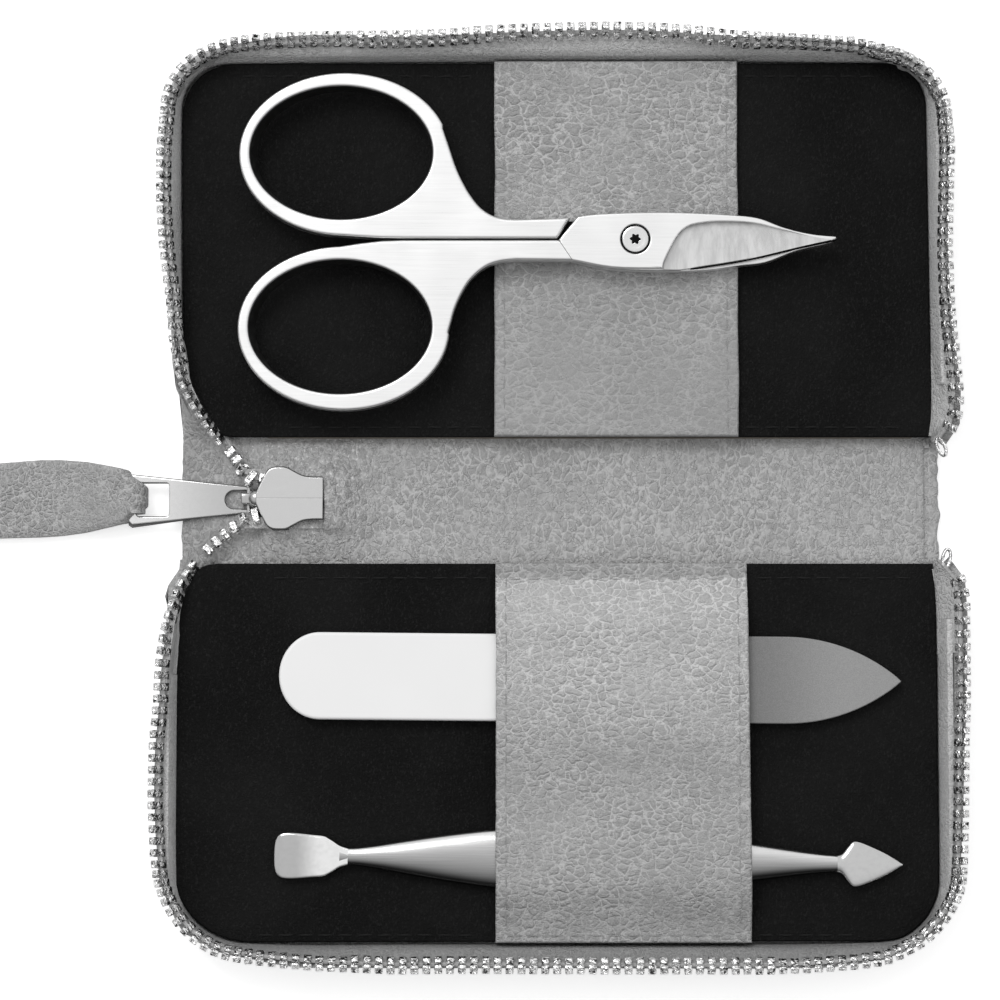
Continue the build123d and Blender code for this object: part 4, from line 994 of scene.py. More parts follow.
# ---------------------------------------------------------------- the ends of the zip
def stop_ring(name, centre, degrees, side, body, node):
    """A top stop pinched round the tape's cord: an oval band of metal."""
    long, short = 1.35, 0.55
    c, n = math.cos(math.radians(degrees)), math.sin(math.radians(degrees))
    rows = []
    for a in turns(28):
        u, v = long * math.cos(a), short * math.sin(a)
        ux, uy = -long * math.sin(a), short * math.cos(a)
        size = math.hypot(ux, uy)
        row = []
        for b in turns(10):
            w, h = 0.26 * math.cos(b), 0.42 * math.sin(b)
            px, py = u + uy / size * w, v - ux / size * w
            row.append((centre[0] + px * c - py * n, (centre[1] + (px * n + py * c)) * side, centre[2] + h))
        rows.append(row)
    rows.append(rows[0])
    return skin(name, rows, looks["zip_metal"], body, (node,), caps=False, angle=60)


stop_ring("stop_ring_upper", (55.25, 7.9, 6.4), 113, 1, "upper_half", "zip_top_stop_upper")
stop_ring("stop_ring_lower", (55.9, 8.3, 6.4), 100, -1, "lower_half", "zip_top_stop_lower")

# The walls' inner leather where the zip is drawn in: (y, X of the rim, its height, X of the foot).
RIGHT_END = [(22.0, 57.62, 8.35, 55.15), (17.0, 57.6, 8.35, 55.1), (14.5, 57.4, 8.0, 55.0),
             (12.5, 57.0, 7.6, 54.8), (11.0, 56.3, 7.0, 54.6), (9.7, 55.6, 6.4, 54.3)]
WALL_ENDS = {
    ("upper", -1): [(27.0, -57.62, 8.35, -55.15), (25.0, -57.6, 8.35, -55.1), (21.0, -56.7, 7.9, -55.0),
                    (17.0, -55.1, 7.2, -54.2), (14.5, -53.5, 6.3, -52.9), (12.0, -51.8, 5.2, -51.0),
                    (10.4, -50.4, 4.5, -49.7)],
    ("lower", -1): [(27.0, -57.62, 8.35, -55.15), (25.0, -57.6, 8.35, -55.1), (21.0, -57.2, 7.9, -55.0),
                    (17.0, -56.7, 7.2, -54.9), (14.5, -55.9, 6.3, -54.5), (12.0, -54.9, 5.2, -53.7),
                    (10.4, -53.9, 4.5, -52.9)],
    ("upper", 1): RIGHT_END,
    ("lower", 1): RIGHT_END,
}


def wall_end(half, end, stations):
    side = 1 if half == "upper" else -1
    rows = []
    for y, rim_x, rim_z, foot_x in flowing(stations, 5):
        row = []
        cover = 1 - ease(y, 17.5, 25.0)
        for t in np.linspace(0, 1, 14):
            x = foot_x + (rim_x - end * 0.34 - foot_x) * (t ** 0.9)
            z = 3.6 + (rim_z - 0.25 + 0.05 * cover - 3.6) * (t ** (1.25 - 0.45 * cover))
            x, at_y = draped(x, y * side, z)
            x += end * 0.10 * wave(y, t * 3, 1.7, 51 + end)
            row.append((x, at_y, z + 0.07 * wave(y, t * 5, 1.3, 53)))
        rows.append(row)
    thin_strip("wall_end_%s_%s" % (half, "left" if end < 0 else "right"), rows, 0.25, half + "_half", 80)


for (half, end), stations in WALL_ENDS.items():
    wall_end(half, end, stations)

# The edge of the leather that spreads outward under the teeth of a far wall: its foot and its rim in a
# plain outline, how far the rim reaches in X, and its section as (share of the way out, height).
LIP_FOOT, RIM_FAR, RIM_REACH = 64.85, 67.2, 57.9
LIP_SECTION = [(0, 5.7), (0.1, 6.3), (0.3, 6.85), (0.6, 7.35), (0.85, 7.7), (1, 7.85), (0.98, 7.6),
               (0.82, 6.9), (0.68, 6.3)]


def facing_lip(half, radius, spread_to, last, fade):
    side = 1 if half == "upper" else -1
    rows = []
    for x in spread(-last, last, 0.8):
        past = max(0, abs(x) - (RIM_REACH - radius))
        sag = radius - math.sqrt(max(0, radius ** 2 - past ** 2))
        wide = ease(last - abs(x), 0, fade)
        rim = draped(x, (RIM_FAR - sag) * side, rim=1.0)[1] * side
        less = 0.6 * ease(x, 22, 44) if half == "upper" else 0
        out = rim + (spread_to - rim - less) * wide + 0.08 * wave(x, 3, 4.1, 61)
        foot = draped(x, (LIP_FOOT - sag) * side, rim=0.0)[1] * side
        rows.append([(x, (foot + (out - foot) * t) * side, z) for t, z in LIP_SECTION])
    thin_strip("facing_lip_" + half, rows, 0.22, half + "_half", 70)


facing_lip("upper", 9.4, 68.15, 48.5, 15)
facing_lip("lower", 12.4, 67.1, 47, 12)


# ---------------------------------------------------------------- the trays' black linings
# Each half's corner radius, and its left edge from the wall to the spine.
LINER_LINE = {
    "upper": (7.6, [(-54.95, 25), (-54.6, 19), (-54.0, 16.8), (-52.9, 14.6), (-51.6, 12.6), (-50.8, 11.2),
                    (-49.9, 10.2), (-48.6, 9.65), (-46.5, 9.55)]),
    "lower": (10.6, [(-55.6, 25), (-55.3, 18), (-54.8, 14.2), (-53.9, 12.0), (-52.9, 10.5), (-51.6, 9.3),
                     (-49.5, 8.9)]),
}
LINER_LOW, LINER_TOP = 3.22, 4.0
LINER_FAR, LINER_RIGHT = 64.25, 54.9


def liner_cloth(half, corner, mouth):
    side = 1 if half == "upper" else -1
    left = -mouth[0][0]
    right = corner - 1.4
    line = [(54.5, mouth[-1][1]), (54.75, 12), (LINER_RIGHT, 16)]
    line += ellipse(LINER_RIGHT - right, LINER_FAR - right, right, right, 0, 90, 14)
    line += ellipse(corner - left, LINER_FAR - corner, corner, corner, 90, 180, 14)
    line += flowing(mouth, 6)
    line = [draped(x, y * side, rim=0.0) for x, y in line]
    cloth = slab("liner_cloth_" + half, [line], LINER_LOW, LINER_TOP, 0.22, looks["liner"], half + "_half",
                 ("liner_" + half,), 3)


for half, (corner, mouth) in LINER_LINE.items():
    liner_cloth(half, corner, mouth)


# ---------------------------------------------------------------- retaining bands
# Each band's area, as left, right, near and far.
UPPER_BAND = (-9.6, 26.0, 9.6, 64.1)
LOWER_BAND = (-9.4, 27.4, 8.9, 64.1)
BAND = 1.2  # the leather's thickness


def band_upper_top(x, y):
    """The upper band is nearly flat."""
    left, right, near, far = UPPER_BAND
    t = (y - near) / (far - near)
    arch = 0.25 * 4 * t * (1 - t)
    fold = 0.05 * wave(x * 0.4, y, 3.2, 1) + 0.04 * wave(x, y, 1.3, 2)
    edge = min(ease(x - left, 0, 2.0), ease(right - x, 0, 2.0))
    return LINER_TOP + BAND - 0.02 + arch + fold * (0.35 + 0.65 * edge) - 0.10 * (1 - edge)


def band_lower_top(x, y):
    """The lower band rises over the two tools and dips between them."""
    left, right = LOWER_BAND[:2]
    lift = 2.35 * ease(y, 10.4, 18.9) * (1 - ease(y, 55.2, 63.6))
    lift -= 0.55 * ease(y, 33.0, 40.0) * (1 - ease(y, 42.0, 48.0)) * (0.8 + 0.4 * wave(x, 0, 9, 7))
    lift += 0.2 * (1 - min(1, ((y - 51.8) / 4.5) ** 2))
    fold = 0.08 * wave(x * 0.25, y, 2.6, 5) + 0.06 * wave(x, y * 0.6, 1.5, 6)
    slope = ease(y, 10.5, 13) * (1 - ease(y, 19, 22))
    fold += 0.10 * slope * wave(x * 0.7, y * 1.7, 1.1, 16)
    near = ease(y, 9.6, 12.5)
    edge = min(ease(x - left, 0, 1.8), ease(right - x, 0, 1.8))
    return LINER_TOP + BAND + lift + fold * (0.4 + 0.6 * edge) * (0.3 + 0.7 * near) - 0.10 * (1 - edge)


def band(half, area, top, seed):
    side = 1 if half == "upper" else -1
    x0, x1, y0, y1 = area
    xs = edged(x0, x1, 0.55)
    ys = edged(y0, y1, 0.45)
    obj = sheet_of("band_" + half, top, xs, ys, BAND - 0.25, band_looks[half], half + "_half",
                   ("retaining_band_" + half,))
    for vert in obj.data.vertices:
        x, y, z = vert.co / MM
        near_left, near_right = ease(x0 + 3 - x, 0, 3), ease(x - x1 + 3, 0, 3)
        run = (y - y0) / (y1 - y0)
        bow = 0.12 * wave(y, 0, 9, seed) + 0.05 * wave(y, 0, 2.2, seed + 1)
        lean = 0.10 * math.sin(run * math.pi)
        slant = 0.5 * run - 0.35 if side < 0 else 0.12 * wave(y, 3, 12, 9)
        x += near_left * (bow + lean * 0.5) + near_right * (-bow * 0.8 + slant)
        x, y = draped(x, y * side, rim=0.0)
        vert.co = Vector((x, y, z)) * MM
    if side < 0:
        obj.data.flip_normals()


band("upper", UPPER_BAND, band_upper_top, 11)
band("lower", LOWER_BAND, band_lower_top, 23)


# ---------------------------------------------------------------- stitches
GREY_THREAD, BLACK_THREAD = 0.075, 0.12
SEAM_NEAR, SEAM_FAR = 10.2, 63.6


def seam(half, where, x, lean=0.0):
    """A row of stitches along a side of a band."""
    side, top = (1, band_upper_top) if half == "upper" else (-1, band_lower_top)
    line = []
    for y in np.linspace(SEAM_NEAR, SEAM_FAR, 60):
        px = x + lean * (y - SEAM_NEAR) / (SEAM_FAR - SEAM_NEAR) + 0.12 * wave(y, 1, 6, x)
        line.append((px, y * side, top(px, y) + 0.02))
    name = "stitch_%s_%s" % (half, where)
    stitches(name, line, GREY_THREAD, grey_thread, half + "_half", int(abs(x) * 10))


def cross_seam(where, y, seed):
    """A row of stitches across the lower band."""
    line = [(x, -y, band_lower_top(x, y) + 0.02) for x in np.linspace(-8, 26, 60)]
    stitches("stitch_lower_" + where, line, GREY_THREAD, grey_thread, "lower_half", seed)


def liner_stitch(where, y, x0, x1):
    line = [(x, y, LINER_TOP + 0.03) for x in np.linspace(x0, x1, 80)]
    body = "upper_half" if y > 0 else "lower_half"
    stitches("stitch_liner_" + where, line, BLACK_THREAD, black_thread, body, int(abs(y)))


seam("upper", "left", -8.1)
seam("upper", "right", 24.4)
seam("lower", "left", -7.9)
seam("lower", "right", 25.6, 0.3)
cross_seam("top", 11.2, 5)
cross_seam("bottom", 62.6, 6)
for where, y, (left_x, left_end), (right_x, right_end) in (
    ("upper", 11.0, (-40, -10.2), (26.6, 52)),
    ("lower", -11.0, (-42, -10.2), (28.2, 52)),
    ("bottom", -62.6, (-44, -10.2), (28.2, 44)),
    ("top", 62.8, (-47, -10.2), (26.6, 47)),
):
    liner_stitch(where + "_left", y, left_x, left_end)
    liner_stitch(where + "_right", y, right_x, right_end)


# ---------------------------------------------------------------- scissors
SCREW_X, SCREW_Y = 10.87, 37.92
# Heights: the loops' underside, the top blade from its underside to its hollow and its land, the
# height that the hollow face is closed at, and the under blade.
LOOP_LOW, TOP = 6.5, 9.28
TOP_BLADE, LAND_LOW, HOLLOW_LOW = (7.42, 8.6), 8.3, 8.0
UNDER_BLADE = (5.48, 7.36)
LOBES, LOBE_TURN = 6, 0.4


def at_screw(points):
    """Points given from the scissors' screw."""
    return [(SCREW_X + x, SCREW_Y + y) for x, y in points]


def oval(cx, cy, rx, ry, count=90):
    return at_screw([(cx + rx * math.cos(a), cy + ry * math.sin(a)) for a in turns(count)])


LOOP_RX, LOOP_RY = 15.35, 11.95


def loop_half(name, centre, sign, flare, shank, edge, which):
    """A finger loop with its shank, as one thick plate with rounded edges.

    The loop runs up and round for sign 1, down and round for -1, from where the flare leaves it. Edge is
    the Y of the shank's inner side.
    """
    cx, cy = centre
    start = math.degrees(math.atan2((flare[0][1] - cy) / LOOP_RY, (flare[0][0] - cx) / LOOP_RX))
    ring = ellipse(cx, cy, LOOP_RX, LOOP_RY, start, sign * 268)
    end_x, end_y = ring[-1]
    drop = end_y - edge
    flat = [(end_x + 9, edge), (end_x + 6, edge + 0.12 * drop), (end_x + 3, edge + 0.5 * drop)]
    outline = list(reversed(ring)) + flowing(flare, 6)[1:] + shank[1:] + flat
    hole = oval(cx - 0.5, cy + 0.22, 13.25, 9.75)
    foot = oval(cx - 0.1, cy + 0.05, 12.8, 9.58)
    seat = oval(cx, cy, 13.6, 10.1)
    rings = [[(*p, z) for p in line] for line, z in ((hole, 8.86), (foot, 7.0), (foot, LOOP_LOW + 0.05),
                                                     (seat, LOOP_LOW + 0.05))]
    body = "scissors_" + which
    # The loop's inner slope, in metal painted dark as shade.
    skin(name + "_inside", rings, looks["steel_side"], body, (), caps=False, angle=50)
    slab(name, [at_screw(outline), hole], LOOP_LOW, TOP - 0.003, 0.40, looks["steel"], body,
         ("scissor_blade_" + which,), 5)


flare_up = [(-28.1, 16.8), (-26.9, 13.2), (-26.0, 10.5), (-24.9, 8.1), (-23.9, 6.4), (-22.6, 4.75),
            (-21.3, 3.75), (-20.0, 3.2), (-18.6, 2.95), (-17.2, 2.9)]
shank_up = [(-17.2, 2.9), (-13.0, 3.0), (-9.45, 3.15), (-9.75, 2.7), (-10.35, 1.75), (-11.0, 0.55),
            (-11.4, 0.1)]
loop_half("scissor_under_handle", (-42.2, 12.45), 1, flare_up, shank_up, 0.1, "under")
flare_down = [(-27.2, -13.9), (-26.7, -12.1), (-26.2, -10.3), (-25.3, -8.2), (-24.1, -6.2), (-22.6, -4.7),
              (-21.2, -3.8), (-19.6, -3.3), (-17.4, -3.05)]
shank_down = [(-17.4, -3.05), (-13.0, -3.08), (-9.3, -3.12), (-7.6, -3.3), (-9.4, -0.3), (-11.0, -0.13)]
loop_half("scissor_top_handle", (-42.3, -13.0), -1, flare_down, shank_down, -0.15, "top")


def blade_slab(name, loops, low, high, bevel, steps, look, which="top", real=True):
    """A flat piece on a blade, which stands for part of its solid unless it is only a line of shadow."""
    replaced = ("scissor_blade_" + which,) if real else ()
    slab(name, loops, low, high, bevel, look, "scissors_" + which, replaced, steps)


blade_back = flowing([(-8.3, 3.28), (-6.5, 3.55), (-1.8, 3.8), (4.6, 3.9), (12.5, 3.6), (17.7, 3.1),
                      (21.4, 1.75), (25.7, 0.6), (29.2, 0.05)], 6)
blade_edge = flowing([(29.2, 0.05), (24.3, -1.0), (16.0, -2.9), (6.5, -4.4)], 6)
blade_heel = flowing([(6.5, -4.4), (4.3, -4.5), (-3.4, -4.2), (-9.3, -3.1)], 4)
start = [(-11.1, -0.1), (-10.1, 1.15)]
outline = blade_back + blade_edge[1:] + blade_heel[1:] + start
screw_hole = oval(0, 0, 2.1, 2.1, 72)
blade_slab("scissor_top_blade", [at_screw(outline), screw_hole], *TOP_BLADE, 0.1, 2, blade_look)
hollow = flowing([(4.0, -4.35), (4.1, -3.6), (4.5, -2.6), (5.24, -1.1), (6.01, 0.25), (6.95, 1.35),
                  (8.09, 2.0), (9.92, 2.36), (11.9, 2.52), (17.0, 2.3), (21.2, 1.3), (25.7, 0.35),
                  (29.1, 0.02)], 5)
near_edge = flowing([(4.0, -4.35), (-3.4, -4.15), (-9.2, -3.08)], 4)
land = blade_back + list(reversed(hollow)) + near_edge[1:] + start
blade_slab("scissor_top_land", [at_screw(land), screw_hole], LAND_LOW, TOP, 0.26, 4, looks["steel"])


def from_line(point, line):
    """How far a point is from a line of points."""
    def share(a, b):
        return max(0, min(1, (point - a).dot(b - a) / (b - a).length_squared))

    return min((point - (a + (b - a) * share(a, b))).length for a, b in zip(line, line[1:]))


def hollow_ground():
    """The hollow-ground face of the top blade: it falls away from the land and thins to the edge."""
    rim = [Vector(p) for p in hollow]
    edge_line = sorted(blade_edge + [(4.0, -4.42)])
    grid = []
    for x in [*np.linspace(4.02, 12, 70), *np.linspace(12.2, 29.0, 90)]:
        high, low = along(hollow, x), along(edge_line, x)
        thin = 0.35 * ease(x, 14, 29)
        column = []
        for t in np.linspace(0, 1, 44) ** 1.3:
            y = high + (low - high) * t
            gap = from_line(Vector((x, y)), rim)
            z = TOP - 0.03 - (0.46 - thin) * (1 - math.exp(-gap / 0.75)) - 0.10 * gap * (1 - thin) * 0.5
            column.append((SCREW_X + x, SCREW_Y + y, z))
        grid.append(column)
    bm = bmesh.new()
    span_rows(bm, points_of(bm, grid), closed=False)
    drop_skirt(bm, lambda z: HOLLOW_LOW * MM)
    add_mesh("scissor_hollow", mesh_of(bm, "scissor_hollow"), blade_look, "scissors_top",
             ("scissor_blade_top",), 50)


hollow_ground()

under_back = flowing([(-9.2, -3.0), (-3.4, -4.2), (4.3, -4.5), (10.8, -4.3), (15.4, -3.65), (18.9, -3.2),
                      (23.4, -1.5), (27.9, -0.45), (29.0, -0.15)], 5)
under_edge = flowing([(29.0, -0.15), (24.3, -0.2), (16.0, 1.2), (6.5, 2.8)], 5)
under_heel = [(4.3, 3.4), (-3.4, 3.2), (-7.4, 2.9), (-9.6, 0.2)]
under_line = at_screw(under_back + under_edge[1:] + under_heel)
blade_slab("scissor_under_blade", [under_line], *UNDER_BLADE, 0.2, 3, looks["steel"], "under")
# A painted shadow line along the cutting edge.
low_line = [(x, y + 0.02) for x, y in blade_edge if x > 6.6]
edge_line = at_screw(low_line + [(x, y - 0.15) for x, y in reversed(low_line)])
blade_slab("scissor_edge_line", [edge_line], 7.5, LAND_LOW, 0.01, 1, gap_shadow, real=False)
joint_line = at_screw([(-11.12, -0.2), (-9.22, -3.02), (-9.12, -3.02), (-11.0, -0.2)])
blade_slab("scissor_joint_line", [joint_line], 9.2, TOP + 0.004, 0.001, 1, joint_grey, real=False)
# A painted shadow sheet beneath the joint.
joint_floor = at_screw([(-13.5, 0.3), (-11.4, 2.4), (-9.6, 3.0), (-8.4, 3.0), (-10.6, -0.4), (-13.5, -0.4)])
blade_slab("scissor_joint_floor", [joint_floor], 5.6, 6.4, 0.05, 1, gap_shadow, "under", False)


def lobed(radius, depth, z):
    """A ring about the screw, with six lobes where depth is given."""
    ring = [(radius + depth * math.cos(LOBES * a + LOBE_TURN), a) for a in turns(96)]
    return [(SCREW_X + r * math.cos(a), SCREW_Y + r * math.sin(a), z) for r, a in ring]


def screw_piece(name, rings, look, caps=True):
    skin(name, [lobed(*ring) for ring in rings], look, "scissors_under", ("scissor_screw",), caps=caps,
         angle=28)


head = [(1.93, 0, 8.8), (1.93, 0, 9.16), (1.86, 0, 9.25), (1.74, 0, 9.29), (1.5, 0, 9.30), (1.30, 0, 9.27),
        (1.0, 0.02, 9.26), (0.76, 0.12, 9.27), (0.70, 0.12, 9.26)]
screw_piece("screw_head", head, polished("screw_satin", 0.82, 0.2), caps=False)
# The screw's recess is painted with shadow.
screw_piece("screw_recess", [(0.70, 0.12, 9.26), (0.68, 0.12, 8.80), (0.2, 0.02, 8.78)], gap_shadow)
pin = [(0.46, 0.07, 8.70), (0.44, 0.07, 9.12), (0.36, 0.05, 9.18), (0.05, 0, 9.2)]
screw_piece("screw_pin", pin, polished("screw_pin_satin", 0.55, 0.3))
# A painted shadow ring round the screw head.
gap = [oval(0, 0, radius, radius, 72) for radius in (2.10, 1.93)]
blade_slab("screw_rim_gap", gap, 9.2, TOP + 0.006, 0.001, 1, gap_shadow, real=False)


# ---------------------------------------------------------------- nail file and cuticle tool
# Each tool's left end and the angle that it lies at.
FILE = ((-40.7, -25.2), -0.55)
TOOL = ((-41.3, -51.15), -0.85)
TOOL_FLOOR = 4.03


def turned(points, start, degrees):
    c, s = math.cos(math.radians(degrees)), math.sin(math.radians(degrees))
    return [(start[0] + x * c - y * s, start[1] + x * s + y * c) for x, y in points]


def file_part(name, line, low, high, bevel, steps, node, slot):
    """A flat part of the nail file."""
    slab(name, [turned(line, *FILE)], low, high, bevel, looks[slot], "nail_file", (node,), steps)


FILE_HALF = 6.3
HANDLE_END, LEAF_SHOULDER, LEAF_TIP = 49.5, 73.0, 17
round_end = [(5.9 - 5.9 * math.sin(a), FILE_HALF * math.cos(a)) for a in np.linspace(0, math.pi, 44)]
handle = [(HANDLE_END, FILE_HALF)] + round_end + [(HANDLE_END, -FILE_HALF)]
file_part("file_handle_white", handle, TOOL_FLOOR, 6.23, 0.42, 5, "nail_file_handle", "file_handle")
leaf = [(HANDLE_END, -FILE_HALF), (LEAF_SHOULDER, -FILE_HALF)]
for t in np.linspace(0.04, 1, 24):
    leaf.append((LEAF_SHOULDER + LEAF_TIP * t, -FILE_HALF * (1 - t ** 2.1) ** 0.92))
leaf += [(x, -y) for x, y in reversed(leaf[:-1])]
file_part("file_blade_grit", leaf, 4.53, 5.73, 0.16, 3, "nail_file_blade", "file_steel")


def squared(value, square):
    """A cosine or sine that draws a circle towards a box (above 2) or a lozenge (below)."""
    return math.copysign(abs(value) ** (2 / square), value)


def tool_part(name, table, square, look, angle):
    """A part of the cuticle tool, from rows of (x, half width, bottom, top)."""
    rows = []
    for x, half, low, high in flowing(table, 6):
        middle, rise = (low + high) / 2, (high - low) / 2
        row = []
        for a in turns(28):
            place = turned([(x, half * squared(math.cos(a), square))], *TOOL)[0]
            row.append((*place, TOOL_FLOOR + (middle + rise * squared(math.sin(a), square))))
        rows.append(row)
    skin(name, rows, look, "cuticle_tool", ("cuticle_tool",), angle=angle)


shaft = [(9.4, 1.35, 0.65, 1.75), (10.9, 1.2, 0.62, 1.8), (14.0, 1.55, 0.45, 2.0), (20.0, 2.6, 0.1, 2.35),
         (26.0, 3.5, 0.02, 2.4), (32.1, 4.2, 0, 2.4), (45.0, 4.75, 0, 2.4), (58.0, 4.0, 0, 2.4),
         (66.0, 3.05, 0.02, 2.38), (72.0, 2.25, 0.1, 2.3), (78.0, 1.45, 0.4, 2.0), (81.2, 1.15, 0.6, 1.8)]
tool_part("tool_shaft", shaft, 2.1, looks["tool_steel"], 60)
pusher = [(0.0, 0.9, 1.0, 1.12), (0.06, 1.6, 0.97, 1.16), (0.22, 2.3, 0.92, 1.22), (0.5, 2.8, 0.86, 1.3),
          (0.95, 3.12, 0.8, 1.42), (1.7, 3.27, 0.78, 1.46), (2.9, 3.28, 0.75, 1.5), (5.4, 3.05, 0.72, 1.55),
          (7.2, 2.85, 0.7, 1.58), (8.3, 2.3, 0.68, 1.62), (9.4, 1.6, 0.65, 1.7), (10.6, 1.22, 0.62, 1.78)]
# The pusher is painted with shading along its length, for light on its hollow spoon.
tool_part("tool_pusher", pusher, 4.5, polished("pusher_polish", 0.52, 0.13, shade=(-34.2, -38.5, 0.92)), 40)
spear = [(80.8, 1.2, 0.6, 1.8), (81.7, 1.35, 0.6, 1.8), (82.7, 2.4, 0.65, 1.75), (83.5, 3.15, 0.7, 1.7),
         (84.2, 3.15, 0.72, 1.68), (86.0, 2.5, 0.8, 1.6), (88.5, 1.35, 0.9, 1.5), (90.6, 0.1, 1.1, 1.3)]
tool_part("tool_spear", spear, 1.5, polished("spear_polish", 0.62, 0.16), 30)


# ---------------------------------------------------------------- slider and pull
SLIDER_X = -44.2
MOUTH = -45.6  # the pull's right end, open to the bridge
SLOT_END, SLOT_HALF = -48.9, 1.4
# Heights of the slider's two plates, of its side walls, open between for the tapes, and of the pull.
SLIDER_FLOOR, SLIDER_PLATE = (3.0, 3.6), (5.5, 6.0)
SLIDER_WALLS = ((3.5, 4.05), (4.95, 5.5))
PULL_PLATE = (2.0, 2.9)


def both_sides(half, left=0.0, between=()):
    """A closed line from its half above the slider's axis, with what lies between the halves at the right."""
    up = [(left + x, SLIDER_Y + y) for x, y in half]
    return up + list(between) + [(left + x, SLIDER_Y - y) for x, y in reversed(half)]


def slider_slab(name, line, low, high, bevel, steps, look=None):
    slab(name, [line], low, high, bevel, look or looks["slider_metal"], "slider", ("slider_body",), steps)


def slider_outline(inset=0.0):
    half = flowing([(0.0, 0.75), (0.35, 1.6), (1.1, 3.1), (1.75, 4.15), (2.5, 4.55), (3.4, 4.62),
                    (4.4, 4.55), (5.5, 4.0), (6.7, 3.4), (7.8, 3.2), (9.75, 3.15)], 5)
    return both_sides([(x, y - inset) for x, y in half], SLIDER_X)


# Painted shadow: a dark nickel outline under the slider's top plate and round the pull's plate.
edge_shadow_nickel = polished("edge_shadow_nickel", 0.12, 0.3)
slider_slab("slider_top_edge", slider_outline(), 5.4, 5.85, 0.1, 2, edge_shadow_nickel)
slider_slab("slider_top", slider_outline(0.12), *SLIDER_PLATE, 0.16, 4)
slider_slab("slider_floor", slider_outline(), *SLIDER_FLOOR, 0.2, 3)
wall = flowing([(1.75, 4.15), (2.5, 4.5), (3.4, 4.58), (4.4, 4.5), (5.5, 3.95), (6.7, 3.35), (7.8, 3.15),
                (9.6, 3.1)], 4)
wall = wall + [(x, y - 0.6) for x, y in reversed(wall)]
for side in (1, -1):
    for low, high in SLIDER_WALLS:
        name = "slider_wall_%d_%d" % (side + 1, int(low))
        slider_slab(name, [(SLIDER_X + x, SLIDER_Y + side * y) for x, y in wall], low, high, 0.08, 1)
slider_slab("slider_wedge", both_sides([(0.1, 0.8), (1.6, 1.1), (3.8, 0.12)], SLIDER_X), 3.4, 5.6, 0.05, 1)
bridge_nickel = polished("bridge_nickel", 0.5, 0.2)
soft_copy("slider_bridge", 0.22, bridge_nickel, "slider")


def nose_ring(turn):
    """A ring of the slider's rounded nose, which closes as it turns to the left."""
    x, size = -44.15 - 1.25 * math.sin(turn), math.cos(turn * 0.9)
    return [(x, SLIDER_Y + 1.35 * size * math.cos(a), 4.5 + 1.15 * size * math.sin(a)) for a in turns(24)]


nose = [nose_ring(t * math.pi / 2) for t in np.linspace(0, 1, 9)]
skin("slider_nose", nose, bridge_nickel, "slider", (), angle=60)


def round_box(x0, x1, half, corner):
    """The pull's window, with round corners."""
    x0, x1, half = x0 + corner, x1 - corner, half - corner
    corners = ((x1, half, 0), (x0, half, 90), (x0, -half, 180), (x1, -half, 270))
    out = []
    for x, y, first in corners:
        out += ellipse(x, SLIDER_Y + y, corner, corner, first, first + 90, 6)
    return out


def pull_slab(name, loops, low, high, bevel, steps, look):
    slab(name, loops, low, high, bevel, look, "pull_tab", ("pull_tab",), steps)


def about(points):
    return [(x, SLIDER_Y + y) for x, y in points]


round_slot = [(SLOT_END + SLOT_HALF * (1 - math.sin(a)), SLOT_HALF * math.cos(a))
              for a in np.linspace(0, math.pi, 30)]
slot = about([(MOUTH, SLOT_HALF)] + round_slot + [(MOUTH, -SLOT_HALF)])
wide_slot = [(x, y - math.copysign(0.1, y - SLIDER_Y)) for x, y in slot]
pull_half = [(-63.0, 3.0), (-62.4, 3.6), (-46.7, 1.98), (MOUTH, 1.95)]
grown = [(-63.05, 3.1), (-62.4, 3.72), (-46.7, 2.08), (MOUTH, 2.03)]
edge_low = [(-63.0, -2.6), (-62.4, -3.15), (-46.7, -1.5), (-46.7, -1.75), (-55.0, -3.0), (-62.5, -4.05),
            (-63.0, -3.7)]
# The pull's side: its nickel painted dark as shade.
pull_slab("pull_side", [about(edge_low)], 1.55, 2.05, 0.06, 2, polished("pull_side_nickel_shade", 0.16, 0.3))
plate_edge = [both_sides(grown, between=wide_slot), round_box(-61.9, -56.88, 2.4, 0.5)]
pull_slab("pull_plate_edge", plate_edge, 1.98, 2.6, 0.05, 2, edge_shadow_nickel)
plate = [both_sides(pull_half, between=slot), round_box(-61.8, -57.0, 2.5, 0.55)]
pull_slab("pull_plate", plate, *PULL_PLATE, 0.13, 3, pull_look)
bar_ring = [(-45.4 + 0.45 * math.cos(a), 2.45 + 0.45 * math.sin(a)) for a in turns(20)]
bar = [[(x, SLIDER_Y + y, z) for x, z in bar_ring] for y in (-1.95, -1.85, 1.85, 1.95)]
skin("pull_bar", bar, pull_look, "pull_tab", ("pull_tab",), angle=40)


# ---------------------------------------------------------------- strap
STRAP_LEFT, STRAP_RIGHT = -102.6, -59.0
STRAP_TOP_EDGE = [(-102.6, 0.6), (-102.0, 3.2), (-100.2, 5.0), (-97.0, 6.1), (-90.0, 6.15), (-81.7, 5.95),
                  (-76.0, 6.4), (-72.9, 6.42), (-69.2, 6.1), (-65.5, 5.35), (-61.9, 4.55), (-59.0, 4.4)]
STRAP_LOW_EDGE = [(-102.6, 0.4), (-102.0, -2.2), (-100.2, -4.0), (-97.0, -5.1), (-90.0, -5.15),
                  (-81.7, -5.0), (-76.0, -4.85), (-72.9, -4.65), (-69.2, -4.15), (-65.5, -3.4),
                  (-61.9, -2.45), (-59.0, -2.3)]


def strap_height(x):
    """Top of the strap: two plies on the table, rising to go round the pull's bar."""
    return 2.0 + 2.35 * ease(x, -72.0, -62.8)


